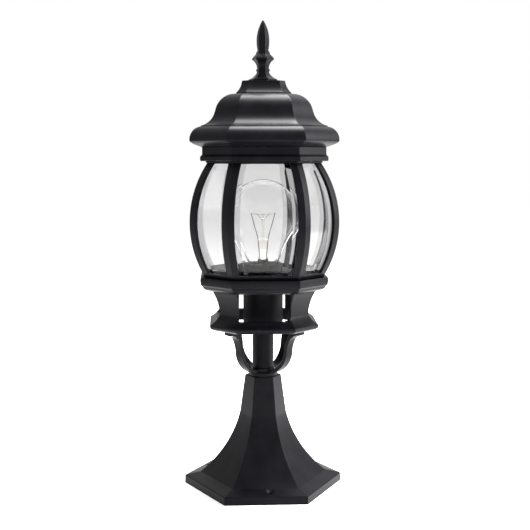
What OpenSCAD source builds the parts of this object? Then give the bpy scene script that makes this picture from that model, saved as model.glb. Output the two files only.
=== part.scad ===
// Pedestal lantern lamp: eight-sided glazed head with a lift-off roof on a hollow six-sided pedestal.
// Millimetres, +Z up, origin at the bottom centre, front towards -Y.
// Curved outlines are chains of circular arcs; every side of a casting follows one outline.

/* [Head shape] */
// extra distance from the axis to a corner face, compared with a wide face
cant_extra = 5; // [4:0.5:6]
// wall of the thin castings
shell_wall = 3; // [2.5:0.5:3.5]

/* [Pedestal] */
// half the plinth width, measured to a flat side
plinth_reach = 75.1; // [73:0.1:76.5]
// thickness of the plinth plate
plinth_height = 8.9; // [8.4:0.1:9.4]
// chamfer along the plinth edge
plinth_chamfer = 1; // [0.5:0.25:1.5]
// how far the ledge of the plinth rises towards the flared body
plinth_rise = 3.4; // [3:0.1:3.8]
// half width of the flared body where it meets the plinth
foot_reach = 60; // [58:0.1:61]
// half width where the flare turns into the straight shaft
shaft_foot_reach = 22; // [21:0.1:23]
// height where the flare turns into the straight shaft
shaft_foot_height = 80.9; // [77.4:0.1:83.4]
// hollow of the flare against its chord
flare_sag = 6.1; // [5:0.1:7]
// half width of the shaft top
shaft_top_reach = 17.1; // [16.5:0.1:17.5]
// height of the pedestal top
pedestal_height = 121.3; // [119.4:0.1:122.4]
// wall of the pedestal casting
pedestal_wall = 3.5; // [3:0.25:4]
// thickness of the pedestal top plate
pedestal_top_plate = 6; // [5:0.5:7]
// circle through the ground fixing holes (diameter)
fixing_circle = 132; // [130:1:134]
// turn of the fixing holes against the front
fixing_turn = 4; // [0:1:6]
// radius of a ground fixing hole
fixing_hole_radius = 2.75; // [2.5:0.25:3]
// radius of the countersink of a ground fixing hole
fixing_sink_radius = 4.6; // [4.4:0.1:4.8]
// depth of that countersink
fixing_sink_depth = 2.2; // [2:0.1:2.4]

/* [Yoke and stem] */
// radius of the lower hub disc
hub_radius = 16; // [15:0.5:16.5]
// height of the lower hub disc
hub_height = 4.2; // [4:0.1:5]
// radius of the upper hub disc
hub_collar_radius = 13; // [12:0.5:13.5]
// height of the upper hub disc
hub_collar_height = 4.3; // [4:0.1:5]
// width of a curved arm
arm_width = 11; // [10:0.5:12]
// thickness of a curved arm
arm_thickness = 3.5; // [3:0.25:4]
// distance of the arm knee from the axis
arm_knee_reach = 38.2; // [37:0.1:39]
// height of the arm knee above the hub bottom
arm_knee_rise = 26.7; // [26:0.1:28]
// distance of the arm top from the axis
arm_top_reach = 47; // [46:0.1:47.5]
// radius of a screw between arm and collar
yoke_screw_radius = 1.5; // [1.25:0.25:1.5]
// thickness of the foot pad on top of an arm
arm_pad = 2.8; // [2.6:0.1:3.2]
// length of the foot pad on top of an arm
arm_pad_length = 13; // [12:0.5:14]
// outer radius of the stem tube
stem_radius = 11.5; // [9:0.1:12]
// wall of the stem tube
stem_wall = 2; // [1.5:0.25:2.5]
// radius of the threaded tube
rod_radius = 5; // [4.5:0.25:5.5]
// bore radius of the threaded tube
rod_bore = 3.6; // [3.2:0.1:3.8]
// radial clearance round the threaded tube and the screws
screw_clearance = 0.1; // [0.05:0.05:0.2]
// thickness of a clamping nut
nut_height = 6; // [5:0.5:6.5]
// radius of a clamping nut to its corners
nut_radius = 9; // [8.5:0.25:9.5]
// thickness of a clamping washer
washer_height = 1.5; // [1.2:0.1:1.8]
// radius of a clamping washer
washer_radius = 11; // [10.5:0.5:11.5]

/* [Collar] */
// height of the collar underside
collar_bottom = 174.4; // [173.9:0.1:174.9]
// half width of the lower lip
collar_lip_reach = 48; // [47:0.1:49]
// height of the lower lip
collar_lip_height = 0.6; // [0.4:0.1:1]
// half width of the rim at its widest
rim_reach = 57.8; // [57:0.1:58.5]
// half width of the opening in the rim
rim_opening = 43; // [42:0.1:44]
// half width at the waist of the straps
waist_reach = 47.5; // [46.5:0.1:48]
// height of the waist
waist_height = 190.9; // [189.9:0.1:192.4]
// half width of the straps at their top
strap_top_reach = 54.5; // [53:0.1:55]
// height of the strap tops
strap_top_height = 217; // [216.4:0.1:218.4]
// hollow of a strap against its chord
strap_sag = 2; // [1.5:0.1:2.5]
// thickness of a strap
strap_thickness = 4; // [3.5:0.25:4.5]
// half width of a collar window
window_half = 27; // [26:0.1:27.5]
// height of the window sill
window_sill = 186.9; // [186.4:0.1:188.4]

/* [Glass cage] */
// height of the collar top and the cage base underside
cage_bottom = 222.9; // [222.4:0.1:223.4]
// how far the cage base reaches out beyond the ribs
cage_base_lip = 5.4; // [5:0.1:6]
// height of the cage base
cage_base_height = 9.6; // [9:0.1:10]
// floor thickness of the cage base
cage_floor = 3.5; // [3:0.25:4]
// half width of the cage at its widest
cage_reach = 77.9; // [77:0.1:78]
// height of the widest place of the cage
cage_belly_height = 290.2; // [289.4:0.1:291.4]
// radius of the outward curve of the ribs
rib_curve = 113; // [110:1:116]
// width of the leg of an angle rib along a wide side
rib_leg = 7.3; // [7:0.1:8]
// width of its leg along a corner side
corner_leg = 8.4; // [8:0.1:9]
// thickness of a rib
rib_thickness = 4; // [3.5:0.25:4.5]
// height of the rail under the panes
rail_top = 237.6; // [236.4:0.1:238.4]
// height of the ledge that carries the panes and the floor plate
ledge_top = 232.4; // [231.9:0.1:232.9]
// underside of the cage top plate
cage_top = 352.2; // [351.4:0.1:352.6]
// thickness of the cage top plate
cage_top_plate = 1.8; // [1.6:0.1:2.4]
// how far the cage top plate reaches out beyond the ribs
cage_top_lip = 1.4; // [1:0.1:1.6]
// width of the cage top plate from its edge to its opening
cage_top_ledge = 14.8; // [14:0.1:15.5]
// thickness of a pane
glass_thickness = 3; // [2.5:0.25:3.2]
// free space between glass and metal
glass_gap = 0.3; // [0.2:0.05:0.4]
// free space between two neighbouring panes, on each side of the corner
pane_corner_gap = 0.5; // [0.4:0.1:0.8]
// thickness of the floor plate in the cage
floor_plate_thickness = 1.5; // [1:0.25:1.75]
// thickness of the sheet that retains the pane tops
retainer_thickness = 0.8; // [0.8:0.1:1.2]
// how far that sheet hangs down behind the panes
retainer_lip = 1.4; // [1.2:0.1:2]

/* [Top frame and roof] */
// how far the moulding reaches out beyond the cage top plate
moulding_lip = 5.9; // [5.5:0.1:6.2]
// how far the frieze stands back behind that moulding
frieze_step = 2.1; // [1.8:0.1:2.3]
// height of that moulding
moulding_height = 4.6; // [4:0.1:5]
// height of the top frame
top_frame_height = 14.5; // [14:0.1:15]
// height of the eave lip above the roof underside
eave_rise = 7.4; // [7:0.1:8]
// half width of the eave
eave_reach = 77.4; // [76.5:0.1:78]
// height of the groove above the eave roll
eave_roll_top = 389.3; // [388.4:0.1:389.9]
// half width of the groove above the eave roll
groove_reach = 66; // [65.5:0.1:66.5]
// height where the bell starts to curve in
bell_foot_top = 402.1; // [401.4:0.1:403.4]
// half width of the bell there
bell_reach = 52.2; // [51.5:0.1:52.5]
// height of the roof top
roof_top = 424; // [423.4:0.1:424.4]
// half width of the flat on the roof top
roof_flat_reach = 30.2; // [29.8:0.1:30.6]
// wall of the roof casting
roof_wall = 2.8; // [2.4:0.2:3]
// free space between the lift-off roof and the top frame
roof_seat_gap = 0.2; // [0.1:0.05:0.3]
// half width of the crown cap at its foot
cap_reach = 29; // [28.4:0.1:29.4]
// half width of the crown cap at its top
cap_top_reach = 22.5; // [22:0.1:23]
// height of the crown cap
cap_height = 13.6; // [13:0.1:14]

/* [Bridge and stud] */
// width of the bridge bar under the roof
bridge_width = 14; // [13:0.5:15]
// thickness of the bridge bar
bridge_thickness = 3; // [2.5:0.25:3.5]
// free space between the end of the bridge bar and the frieze
bridge_gap = 2.6; // [2:0.1:3]
// radius of the roof stud
stud_radius = 3; // [2.75:0.25:3.25]
// top of the roof stud
stud_top = 451.4; // [450.4:0.5:452.4]
// radial clearance round the stud in the roof and in the finial
stud_clearance = 0.06; // [0.04:0.02:0.1]
// radius of the heat shield
shield_radius = 32; // [30:0.5:34]
// distance of a shield screw from the axis
shield_screw_reach = 15.2; // [15:0.1:15.6]

/* [Finial] */
// radius of the finial foot to its corners
finial_foot_radius = 15.5; // [15:0.1:16]
// radius of the finial knob to its corners
finial_knob_radius = 12.2; // [11.8:0.1:12.6]
// radius of the finial neck to its corners
finial_neck_radius = 6.4; // [6.2:0.1:6.6]
// radius of the spear to its corners
spear_radius = 6.9; // [6.6:0.1:7.2]
// thickness of the washer below the finial
finial_washer_height = 1; // [0.8:0.1:1.2]
// height of the finial tip
tip_height = 501.4; // [500.9:0.5:502.4]
// turn of the finial faces against the front
finial_turn = -11; // [-15:1:10]

/* [Lamp] */
// outer radius of the lamp cup
cup_radius = 21.6; // [21:0.1:22]
// wall of the lamp cup
cup_wall = 1.4; // [1.2:0.1:1.5]
// underside of the lamp cup
cup_bottom = 176.4; // [175.4:0.5:177.4]
// outer radius of the shroud round the lampholder
shroud_radius = 21.4; // [21:0.1:21.8]
// top of the shroud
shroud_top = 244.4; // [243.4:0.5:244.9]
// outer radius of the lampholder body
holder_radius = 17; // [16.8:0.1:17.2]
// top of the lampholder body
holder_top = 239.4; // [238.4:0.5:240.4]
// underside of the bulb contact
bulb_bottom = 216.4; // [215.9:0.5:216.9]
// radius of the bulb cap
bulb_cap_radius = 13.1; // [13:0.05:13.2]
// radial clearance between bulb cap and lampholder shell
bulb_clearance = 0.25; // [0.2:0.05:0.35]
// radius of the bulb
bulb_radius = 37.5; // [37:0.5:38]
// radius of its neck half way down
bulb_neck_radius = 19.8; // [19:0.2:20.4]
// top of the bulb
bulb_top = 334.4; // [333.4:0.5:334.9]
// thickness of the bulb glass
bulb_glass_thickness = 0.8; // [0.6:0.1:1]
// radius of a mains wire
wire_radius = 1.1; // [0.9:0.1:1.2]

/* [Hidden] */
$fn = 64;
tiny = 0.01;
far = 400;
hub_bottom = pedestal_height;
stem_bottom = hub_bottom + hub_height + hub_collar_height;
knee = [arm_knee_reach, hub_bottom + arm_knee_rise];
pad_bottom = collar_bottom - arm_pad;
yoke_screw_reach = (rim_opening + collar_lip_reach) / 2 + cant_extra;
cage_base_top = cage_bottom + cage_base_height;
cage_floor_top = cage_bottom + cage_floor;
belly_centre = cage_reach - rib_curve;
cage_base_reach = rib_at(cage_base_top) + cage_base_lip;
cage_top_reach = rib_at(cage_top) + cage_top_lip;
cage_opening = cage_top_reach - cage_top_ledge;
moulding_reach = cage_top_reach + moulding_lip;
frieze_reach = moulding_reach - frieze_step;
frame_bottom = cage_top + cage_top_plate;
frame_top = frame_bottom + top_frame_height;
frame_floor = 2.5;
roof_bottom = frame_top + roof_seat_gap;
eave_height = frame_top + eave_rise;
cap_bottom = roof_top;
cap_top = cap_bottom + cap_height;
finial_bottom = cap_top + finial_washer_height;
bridge_bottom = frame_bottom + frame_floor;
bridge_top = bridge_bottom + bridge_thickness;
rod_bottom = 97.4;
rod_rise = 8;
cup_floor = 2.5;
cup_floor_top = cup_bottom + cup_floor;
rod_top = cup_floor_top + washer_height + nut_height + rod_rise;
holder_base_height = 10;
holder_base_bottom = cup_floor_top + washer_height + nut_height + 0.5;
holder_bottom = holder_base_bottom + holder_base_height;
strip_thickness = 1.5;
strip_top = pedestal_height - pedestal_top_plate;
base_washer_top = strip_top - strip_thickness;
glass_out = rib_thickness + glass_gap;
glass_in = glass_out + glass_thickness;
pane_bottom = ledge_top + glass_gap;
pane_top = cage_top - glass_gap;
black = [0.12, 0.12, 0.13];
steel = [0.7, 0.7, 0.72];
brass = [0.8, 0.65, 0.3];
clear = [0.85, 0.92, 0.95, 0.35];
white = [0.93, 0.92, 0.88];

// half width of a wide side of the eight-sided shape whose wide sides are at distance a
function wide_half(a) = sqrt(2) * (a + cant_extra) - a;
// half width of a corner side of the same shape
function corner_half(a) = (a - wide_half(a)) / sqrt(2);
// the points of a circular arc from a to b, without b; a positive sag lies to the right of the way
function arc(a, b, sag, steps) =
  let (way = b - a, len = norm(way), u = way / len, n = [u.y, -u.x], s = sign(sag),
    r = (len * len / 4 + sag * sag) / (2 * abs(sag)), half = 2 * atan(2 * abs(sag) / len),
    c = (a + b) / 2 - n * s * (r - abs(sag)))
  [for (i = [0 : steps - 1]) let (t = half * (2 * i / steps - 1)) c + r * (s * n * cos(t) + u * sin(t))];
// a line of points moved sideways to the left of the way
function beside(p, gap) =
  [for (i = [0 : len(p) - 1])
    let (a = p[max(i - 1, 0)], b = p[min(i + 1, len(p) - 1)], u = (b - a) / norm(b - a))
    p[i] + gap * [-u.y, u.x]];
function reversed(p) = [for (i = [len(p) - 1 : -1 : 0]) p[i]];
// distance of the outer rib surface from the axis at height z
function rib_at(z) = belly_centre + sqrt(rib_curve * rib_curve - pow(z - cage_belly_height, 2));
function rib_line(from, to, inset, steps) =
  [for (i = [0 : steps]) let (z = from + (to - from) * i / steps) [rib_at(z) - inset, z]];

// a bar along Y whose two sides follow the outline p
module slab(p, grow = 0) {
  rotate([90, 0, 0])
    linear_extrude(far, center = true)
      polygon(concat([for (q = p) [q.x + grow, q.y]], [for (q = reversed(p)) [-q.x - grow, q.y]]));
}

// eight-sided solid with the outline p on its wide sides
module eight_sided(p) {
  intersection() {
    slab(p);
    rotate([0, 0, 90]) slab(p);
    rotate([0, 0, 45]) slab(p, cant_extra);
    rotate([0, 0, 135]) slab(p, cant_extra);
  }
}

// straight eight-sided block
module eight_block(reach, bottom, top) {
  eight_sided([[reach, bottom], [reach, top]]);
}

// six-sided solid with the outline p on its flat sides
module six_sided(p) {
  intersection() {
    rotate([0, 0, 90]) slab(p);
    rotate([0, 0, 30]) slab(p);
    rotate([0, 0, 150]) slab(p);
  }
}

module ring(outer, inner, bottom, top) {
  translate([0, 0, bottom])
    difference() {
      cylinder(r = outer, h = top - bottom);
      translate([0, 0, -1]) cylinder(r = inner, h = top - bottom + 2);
    }
}

// slotted screw standing on its shank tip; the head sits on the height head_at
module screw(radius, shank, head_radius, head_height, head_at) {
  translate([0, 0, head_at])
    difference() {
      union() {
        translate([0, 0, -shank]) cylinder(r = radius, h = shank + tiny);
        cylinder(r = head_radius, h = head_height);
      }
      translate([-head_radius, -0.4, head_height - 0.8]) cube([2 * head_radius, 0.8, 2]);
    }
}

// round bar along a path of points; the path never runs along the guide direction
module tube(path, radius, sides = 8, guide = [0, 1, 0]) {
  last = len(path) - 1;
  dirs = [for (i = [0 : last]) let (a = path[max(i - 1, 0)], b = path[min(i + 1, last)]) (b - a) / norm(b - a)];
  pts = [for (i = [0 : last])
    let (d = dirs[i], side = cross(d, guide), e = side / norm(side), f = cross(e, d))
    for (k = [0 : sides - 1]) path[i] + radius * (e * cos(360 * k / sides) + f * sin(360 * k / sides))];
  faces = concat(
    [[for (k = [0 : sides - 1]) k]],
    [for (i = [0 : last - 1]) for (k = [0 : sides - 1])
      [i * sides + k, (i + 1) * sides + k, (i + 1) * sides + (k + 1) % sides, i * sides + (k + 1) % sides]],
    [[for (k = [sides - 1 : -1 : 0]) last * sides + k]]);
  polyhedron(pts, faces, convexity = 6);
}

function bend(a, b, c, steps) =
  [for (i = [0 : steps]) let (t = i / steps) (1 - t) * (1 - t) * a + 2 * t * (1 - t) * b + t * t * c];

// ---- pedestal ----
foot_height = plinth_height + plinth_rise;
flare = concat(arc([foot_reach, foot_height], [shaft_foot_reach, shaft_foot_height], -flare_sag, 12),
  [[shaft_foot_reach, shaft_foot_height]]);
ledge_edge = plinth_reach - plinth_chamfer;
plinth_line = [[plinth_reach, 0], [plinth_reach - 0.2, plinth_height - plinth_chamfer],
  [ledge_edge, plinth_height], [foot_reach, foot_height]];
// height of the sloping ledge above the middle of a fixing hole
ledge_at_hole = plinth_height + plinth_rise * (ledge_edge - fixing_circle / 2) / (ledge_edge - foot_reach);
sink_slope = (fixing_sink_radius - fixing_hole_radius) / fixing_sink_depth;
sink_over = 1.7;

module plinth() {
  color(black)
    difference() {
      six_sided(plinth_line);
      six_sided([[foot_reach - pedestal_wall, -1], [foot_reach - pedestal_wall, foot_height + 1]]);
      for (a = [-90, 30, 150])
        rotate([0, 0, a + fixing_turn])
          translate([fixing_circle / 2, 0, 0]) {
            translate([0, 0, -1]) cylinder(r = fixing_hole_radius, h = foot_height + 2);
            translate([0, 0, ledge_at_hole - fixing_sink_depth])
              cylinder(r1 = fixing_hole_radius, r2 = fixing_sink_radius + sink_slope * sink_over,
                h = fixing_sink_depth + sink_over);
          }
    }
}

module pedestal() {
  color(black)
    difference() {
      six_sided(concat(flare, [[shaft_top_reach, pedestal_height]]));
      six_sided(concat([[foot_reach - pedestal_wall, foot_height - 1]],
        [for (p = flare) [p.x - pedestal_wall, p.y + 0.5]],
        [[shaft_top_reach - pedestal_wall, pedestal_height - pedestal_top_plate]]));
      translate([0, 0, pedestal_height - pedestal_top_plate - 1])
        cylinder(r = rod_radius + screw_clearance, h = pedestal_top_plate + 2);
    }
}

// ---- yoke with four arms below the corner sides of the collar ----
arm_line = concat(
  arc([hub_collar_radius + 5, hub_bottom + 4.4], knee, 4, 8),
  arc(knee, [arm_top_reach, pad_bottom + tiny], -2.2, 8),
  [[arm_top_reach, pad_bottom + tiny]]);
// outward sweep from the arm to its foot pad
sweep_depth = 5;
arm_sweep = concat(
  arc([arm_top_reach - 1.6, pad_bottom - sweep_depth], [yoke_screw_reach + 2.8, pad_bottom + tiny], -1.3, 5),
  [[yoke_screw_reach + 2.8, pad_bottom + tiny], [arm_top_reach - 2, pad_bottom + tiny]]);

module yoke() {
  color(black)
    difference() {
      union() {
        translate([0, 0, hub_bottom]) cylinder(r = hub_radius, h = hub_height);
        translate([0, 0, hub_bottom + hub_height - tiny])
          cylinder(r = hub_collar_radius, h = hub_collar_height + tiny);
        for (a = [45 : 90 : 315])
          rotate([0, 0, a])
            rotate([90, 0, 0])
              linear_extrude(arm_width, center = true)
                union() {
                  polygon(concat([[8, hub_bottom + 2]], arm_line, reversed(beside(arm_line, arm_thickness)),
                    [[8, hub_bottom + 7.5]]));
                  polygon(arm_sweep);
                  translate([yoke_screw_reach + 4.6 - arm_pad_length, pad_bottom]) square([arm_pad_length, arm_pad]);
                }
      }
      translate([0, 0, hub_bottom - 1])
        cylinder(r = rod_radius + screw_clearance, h = hub_height + hub_collar_height + 2);
      for (a = [45 : 90 : 315])
        rotate([0, 0, a])
          translate([yoke_screw_reach, 0, pad_bottom]) {
            translate([0, 0, -1]) cylinder(r = yoke_screw_radius + screw_clearance, h = arm_pad + 2);
            translate([0, 0, -2 * sweep_depth]) cylinder(r = yoke_head_radius + 0.3, h = 2 * sweep_depth);
          }
    }
}

yoke_head_radius = 2.6;

module yoke_screws() {
  color(steel)
    for (a = [45 : 90 : 315])
      rotate([0, 0, a])
        translate([yoke_screw_reach, 0, 0])
          mirror([0, 0, 1]) screw(yoke_screw_radius, 9, yoke_head_radius, 1.6, -pad_bottom);
}

module stem_tube() {
  color(black) ring(stem_radius, stem_radius - stem_wall, stem_bottom, cup_bottom);
}

module threaded_tube() {
  color(steel) ring(rod_radius, rod_bore, rod_bottom, rod_top);
}

module base_washer() {
  color(steel) ring(washer_radius - 1, rod_radius + screw_clearance, base_washer_top - washer_height, base_washer_top);
}

module clamp_nut(bottom) {
  translate([0, 0, bottom])
    difference() {
      cylinder(r = nut_radius, h = nut_height, $fn = 6);
      translate([0, 0, -1]) cylinder(r = rod_radius, h = nut_height + 2);
    }
}

module base_nut() {
  color(steel) clamp_nut(base_washer_top - washer_height - nut_height);
}

module cup_washer() {
  color(steel) ring(washer_radius, rod_radius + screw_clearance, cup_floor_top, cup_floor_top + washer_height);
}

module cup_nut() {
  color(steel) clamp_nut(cup_floor_top + washer_height);
}

// ---- terminals in the pedestal ----
strip_back = 11.5;
strip_foot = 57.4;
block = [17, 9, 20];
block_bottom = 73.4;

module terminal_strip() {
  color(steel)
    difference() {
      union() {
        translate([-8, -8.5, base_washer_top]) cube([16, strip_back + 8.5 + strip_thickness, strip_thickness]);
        translate([-8, strip_back, strip_foot]) cube([16, strip_thickness, strip_top - strip_foot]);
      }
      translate([0, 0, base_washer_top - 1]) cylinder(r = rod_radius + screw_clearance, h = strip_thickness + 2);
      translate([0, strip_back + 3, block_bottom + block.z / 2]) rotate([90, 0, 0]) cylinder(r = 1.6, h = 6);
      translate([0, strip_back + 3, strip_foot + 6]) rotate([90, 0, 0]) cylinder(r = 2.1, h = 6);
    }
}

module terminal_block() {
  color(white)
    translate([-block.x / 2, strip_back - block.y, block_bottom])
      difference() {
        cube(block);
        for (x = [4, block.x - 4])
          translate([x, 3.6, -1]) cylinder(r = 1.9, h = block.z + 2);
        for (x = [4, block.x - 4])
          for (z = [5, block.z - 5])
            translate([x, 3.6, z]) rotate([90, 0, 0]) cylinder(r = 1.6, h = 6);
        translate([block.x / 2, -1, block.z / 2]) rotate([-90, 0, 0]) cylinder(r = 1.6, h = block.y + 2);
      }
}

module terminal_screws() {
  color(brass) {
    for (x = [4, block.x - 4])
      for (z = [5, block.z - 5])
        translate([x - block.x / 2, strip_back - block.y + 0.6, block_bottom + z])
          rotate([90, 0, 0]) screw(1.5, 1.2, 1.5, 1, -0.6);
    translate([0, strip_back - block.y, block_bottom + block.z / 2])
      rotate([90, 0, 0]) screw(1.5, block.y + strip_thickness + 1, 2.6, 1.2, 0);
  }
}

module earth_screw() {
  color(brass)
    translate([0, strip_back, strip_foot + 6])
      rotate([90, 0, 0]) screw(2, strip_thickness + 1.5, 3.6, 2.6, 0);
}

// ---- collar ----
rim_line = concat(
  [[collar_lip_reach, collar_bottom], [collar_lip_reach + 0.4, collar_bottom + collar_lip_height],
   [rim_reach - 3.6, collar_bottom + collar_lip_height + 0.6], [rim_reach - 0.7, collar_bottom + 3.2],
   [rim_reach, collar_bottom + 5.4]],
  arc([rim_reach - 0.3, collar_bottom + 6.8], [waist_reach, waist_height], -0.9, 6),
  [[waist_reach, waist_height]]);
strap_line = concat(
  arc([waist_reach, waist_height], [strap_top_reach, strap_top_height], -strap_sag, 8),
  [[strap_top_reach, strap_top_height]]);
flange_line = concat(
  [[strap_top_reach, strap_top_height]],
  arc([strap_top_reach + 3.4, strap_top_height + 1.4], [cage_base_reach - 2.6, cage_bottom - 0.6], 1, 4),
  [[cage_base_reach - 2.6, cage_bottom]]);

module collar_outside(bottom, top) {
  intersection() {
    eight_sided(concat(rim_line, [for (i = [1 : len(strap_line) - 1]) strap_line[i]],
      [for (i = [1 : len(flange_line) - 1]) flange_line[i]]));
    eight_block(2 * rim_reach, bottom, top);
  }
}

module collar_inside() {
  eight_sided(concat([[rim_opening, collar_bottom - 1], [rim_opening, window_sill]],
    [for (p = strap_line) [p.x - strap_thickness, p.y]],
    [[flange_opening, strap_top_height], [flange_opening, cage_bottom + 1]]));
}

// the rim at the foot of the collar
module collar() {
  color(black)
    difference() {
      collar_outside(collar_bottom - 1, window_sill);
      collar_inside();
      for (a = [45 : 90 : 315])
        rotate([0, 0, a])
          translate([yoke_screw_reach, 0, collar_bottom - 1]) cylinder(r = yoke_screw_radius, h = 8);
    }
}

module collar_straps() {
  color(black)
    difference() {
      collar_outside(window_sill, strap_top_height);
      collar_inside();
      for (a = [0, 90])
        rotate([0, 0, a])
          translate([-window_half, -far / 2, window_sill - 1])
            cube([2 * window_half, far, strap_top_height - window_sill + 2]);
    }
}

module collar_flange() {
  color(black)
    difference() {
      collar_outside(strap_top_height, cage_bottom + 1);
      collar_inside();
      for (a = [45 : 90 : 315])
        rotate([0, 0, a])
          translate([cage_screw_reach, 0, cage_bottom - 4]) cylinder(r = 1.5, h = 5);
    }
}

// ---- cage base, floor plate, cage frame ----
ledge_width = 12;
ledge_reach = rib_at(ledge_top) - rib_thickness - ledge_width;
cage_screw_reach = ledge_reach + cant_extra + 3;
flange_opening = ledge_reach - 3;

module cage_base() {
  color(black)
    difference() {
      eight_sided([[cage_base_reach - 2.6, cage_bottom], [cage_base_reach - 0.7, cage_bottom + 2],
        [cage_base_reach, cage_bottom + 6.5], [cage_base_reach - 0.5, cage_base_top]]);
      eight_block(cage_base_reach - shell_wall - 0.6, cage_floor_top, cage_base_top + 1);
      translate([0, 0, cage_bottom - 1]) cylinder(r = cup_radius + 0.2, h = cage_floor + 2);
      for (a = [45 : 90 : 315])
        rotate([0, 0, a])
          translate([cage_screw_reach, 0, cage_bottom - 1]) cylinder(r = 1.5 + screw_clearance, h = cage_floor + 2);
    }
}

module cage_screws() {
  color(steel)
    for (a = [45 : 90 : 315])
      rotate([0, 0, a])
        translate([cage_screw_reach, 0, 0])
          screw(1.5, cage_floor + 3.5 + ledge_top - cage_floor_top - 2.2, 2.7, 1.6, ledge_top - 2.2);
}

module floor_plate() {
  color(black)
    difference() {
      eight_block(rib_at(ledge_top) - glass_in - 1.2, ledge_top, ledge_top + floor_plate_thickness);
      translate([0, 0, ledge_top - 1]) cylinder(r = shroud_radius + 0.3, h = floor_plate_thickness + 2);
    }
}

// window outline between two ribs, for a side whose half width follows the rib curve
module rib_window(corner) {
  z_from = rail_top - 1;
  z_to = cage_top + 1;
  steps = 16;
  side = [for (i = [0 : steps])
    let (z = z_from + (z_to - z_from) * i / steps, a = rib_at(z))
    [corner ? corner_half(a) - corner_leg : wide_half(a) - rib_leg, z]];
  slab(side);
}

// the glass cage between two heights, without its windows
module cage_part(bottom, top) {
  difference() {
    intersection() {
      union() {
        eight_sided(rib_line(cage_floor_top, cage_top + 1, 0, 24));
        eight_block(cage_top_reach, cage_top, frame_bottom);
      }
      eight_block(2 * cage_reach, bottom, top);
    }
    eight_sided(concat([[rib_at(ledge_top) - rib_thickness, ledge_top]],
      [for (p = rib_line(ledge_top + 2, cage_top - 2, rib_thickness, 22)) p],
      [[rib_at(cage_top) - rib_thickness, cage_top]]));
    eight_block(ledge_reach, cage_floor_top - 1, ledge_top + 1);
    eight_block(cage_opening, cage_top - 1, frame_bottom + 1);
  }
}

module cage_rail() {
  color(black)
    difference() {
      cage_part(cage_floor_top - 1, rail_top);
      for (a = [45 : 90 : 315])
        rotate([0, 0, a])
          translate([cage_screw_reach, 0, cage_floor_top - 1]) {
            cylinder(r = 1.5 + screw_clearance, h = 9);
            translate([0, 0, ledge_top - 2.2 - cage_floor_top + 1]) cylinder(r = 2.9, h = 4);
          }
    }
}

module cage_ribs() {
  color(black)
    difference() {
      cage_part(rail_top, cage_top);
      for (a = [0, 90])
        rotate([0, 0, a]) {
          rib_window(false);
          rotate([0, 0, 45]) rib_window(true);
        }
    }
}

module cage_head() {
  color(black)
    difference() {
      cage_part(cage_top, frame_bottom + 1);
      for (a = [45 : 90 : 315])
        rotate([0, 0, a])
          translate([frame_screw_reach, 0, cage_top - 1]) cylinder(r = 1.5, h = cage_top_plate + 2);
    }
}

// ---- panes ----
// curved band of glass in the (distance, height) plane, for a side whose distance grows by extra
module pane(corner) {
  extra = corner ? cant_extra : 0;
  steps = 22;
  outer = rib_line(pane_bottom, pane_top, glass_out, steps);
  inner = rib_line(pane_bottom, pane_top, glass_in, steps);
  side = [for (i = [0 : steps])
    let (z = pane_bottom + (pane_top - pane_bottom) * i / steps, a = rib_at(z) - glass_in)
    [(corner ? corner_half(a) : wide_half(a)) - pane_corner_gap, z]];
  intersection() {
    rotate([90, 0, 0])
      linear_extrude(far / 2, center = true)
        polygon([for (p = concat(outer, reversed(inner))) [p.x + extra, p.y]]);
    rotate([0, 0, 90]) slab(side);
  }
}

module wide_panes() {
  color(clear)
    for (a = [0 : 90 : 270])
      rotate([0, 0, a]) pane(false);
}

module corner_panes() {
  color(clear)
    for (a = [45 : 90 : 315])
      rotate([0, 0, a]) pane(true);
}

clip_thickness = 0.8;
clip_rise = 7;
clip_foot = 6;
clip_spread = 20;

// bent tabs that stand on the floor plate and lean on the inside of the wide panes
module pane_clips() {
  from = ledge_top + floor_plate_thickness;
  lean = rib_line(from, from + clip_rise, glass_in + glass_gap, 4);
  back = [for (p = lean) [p.x - clip_thickness, p.y]];
  color(steel)
    for (a = [0 : 90 : 270])
      rotate([0, 0, a])
        for (s = [-1, 1])
          translate([0, s * clip_spread, 0])
            rotate([90, 0, 0])
              linear_extrude(5, center = true)
                polygon(concat(lean, reversed([for (i = [1 : 4]) back[i]]),
                  [[back[0].x, from + clip_thickness], [back[0].x - clip_foot, from + clip_thickness],
                   [back[0].x - clip_foot, from]]));
}

module glass_retainer() {
  low = cage_top - retainer_lip;
  reach = rib_at(low) - glass_in - glass_gap;
  top_reach = rib_at(cage_top) - glass_in - glass_gap;
  color(black)
    difference() {
      eight_sided([[reach, low], [top_reach, cage_top]]);
      eight_sided([[reach - retainer_thickness, low - tiny],
        [top_reach - retainer_thickness, cage_top - retainer_thickness]]);
      eight_block(cage_opening, low - 1, cage_top + 1);
    }
}

// ---- top frame ----
frame_screw_reach = cage_opening + cant_extra + 6;

module top_frame() {
  color(black)
    difference() {
      eight_sided([[moulding_reach - 1, frame_bottom], [moulding_reach, frame_bottom + 0.8],
        [moulding_reach, frame_bottom + moulding_height], [frieze_reach + 0.6, frame_bottom + moulding_height + 1.4],
        [frieze_reach, frame_bottom + moulding_height + 2.4], [frieze_reach, frame_top]]);
      eight_block(frieze_reach - shell_wall, frame_bottom + frame_floor, frame_top + 1);
      eight_block(cage_opening, frame_bottom - 1, frame_top);
      for (a = [45 : 90 : 315])
        rotate([0, 0, a])
          translate([frame_screw_reach, 0, frame_bottom - 1]) cylinder(r = 1.5 + screw_clearance, h = frame_floor + 2);
      for (s = [-1, 1])
        translate([s * bridge_screw_reach, 0, frame_bottom - 1]) cylinder(r = 2, h = frame_floor + 2);
    }
}

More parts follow.
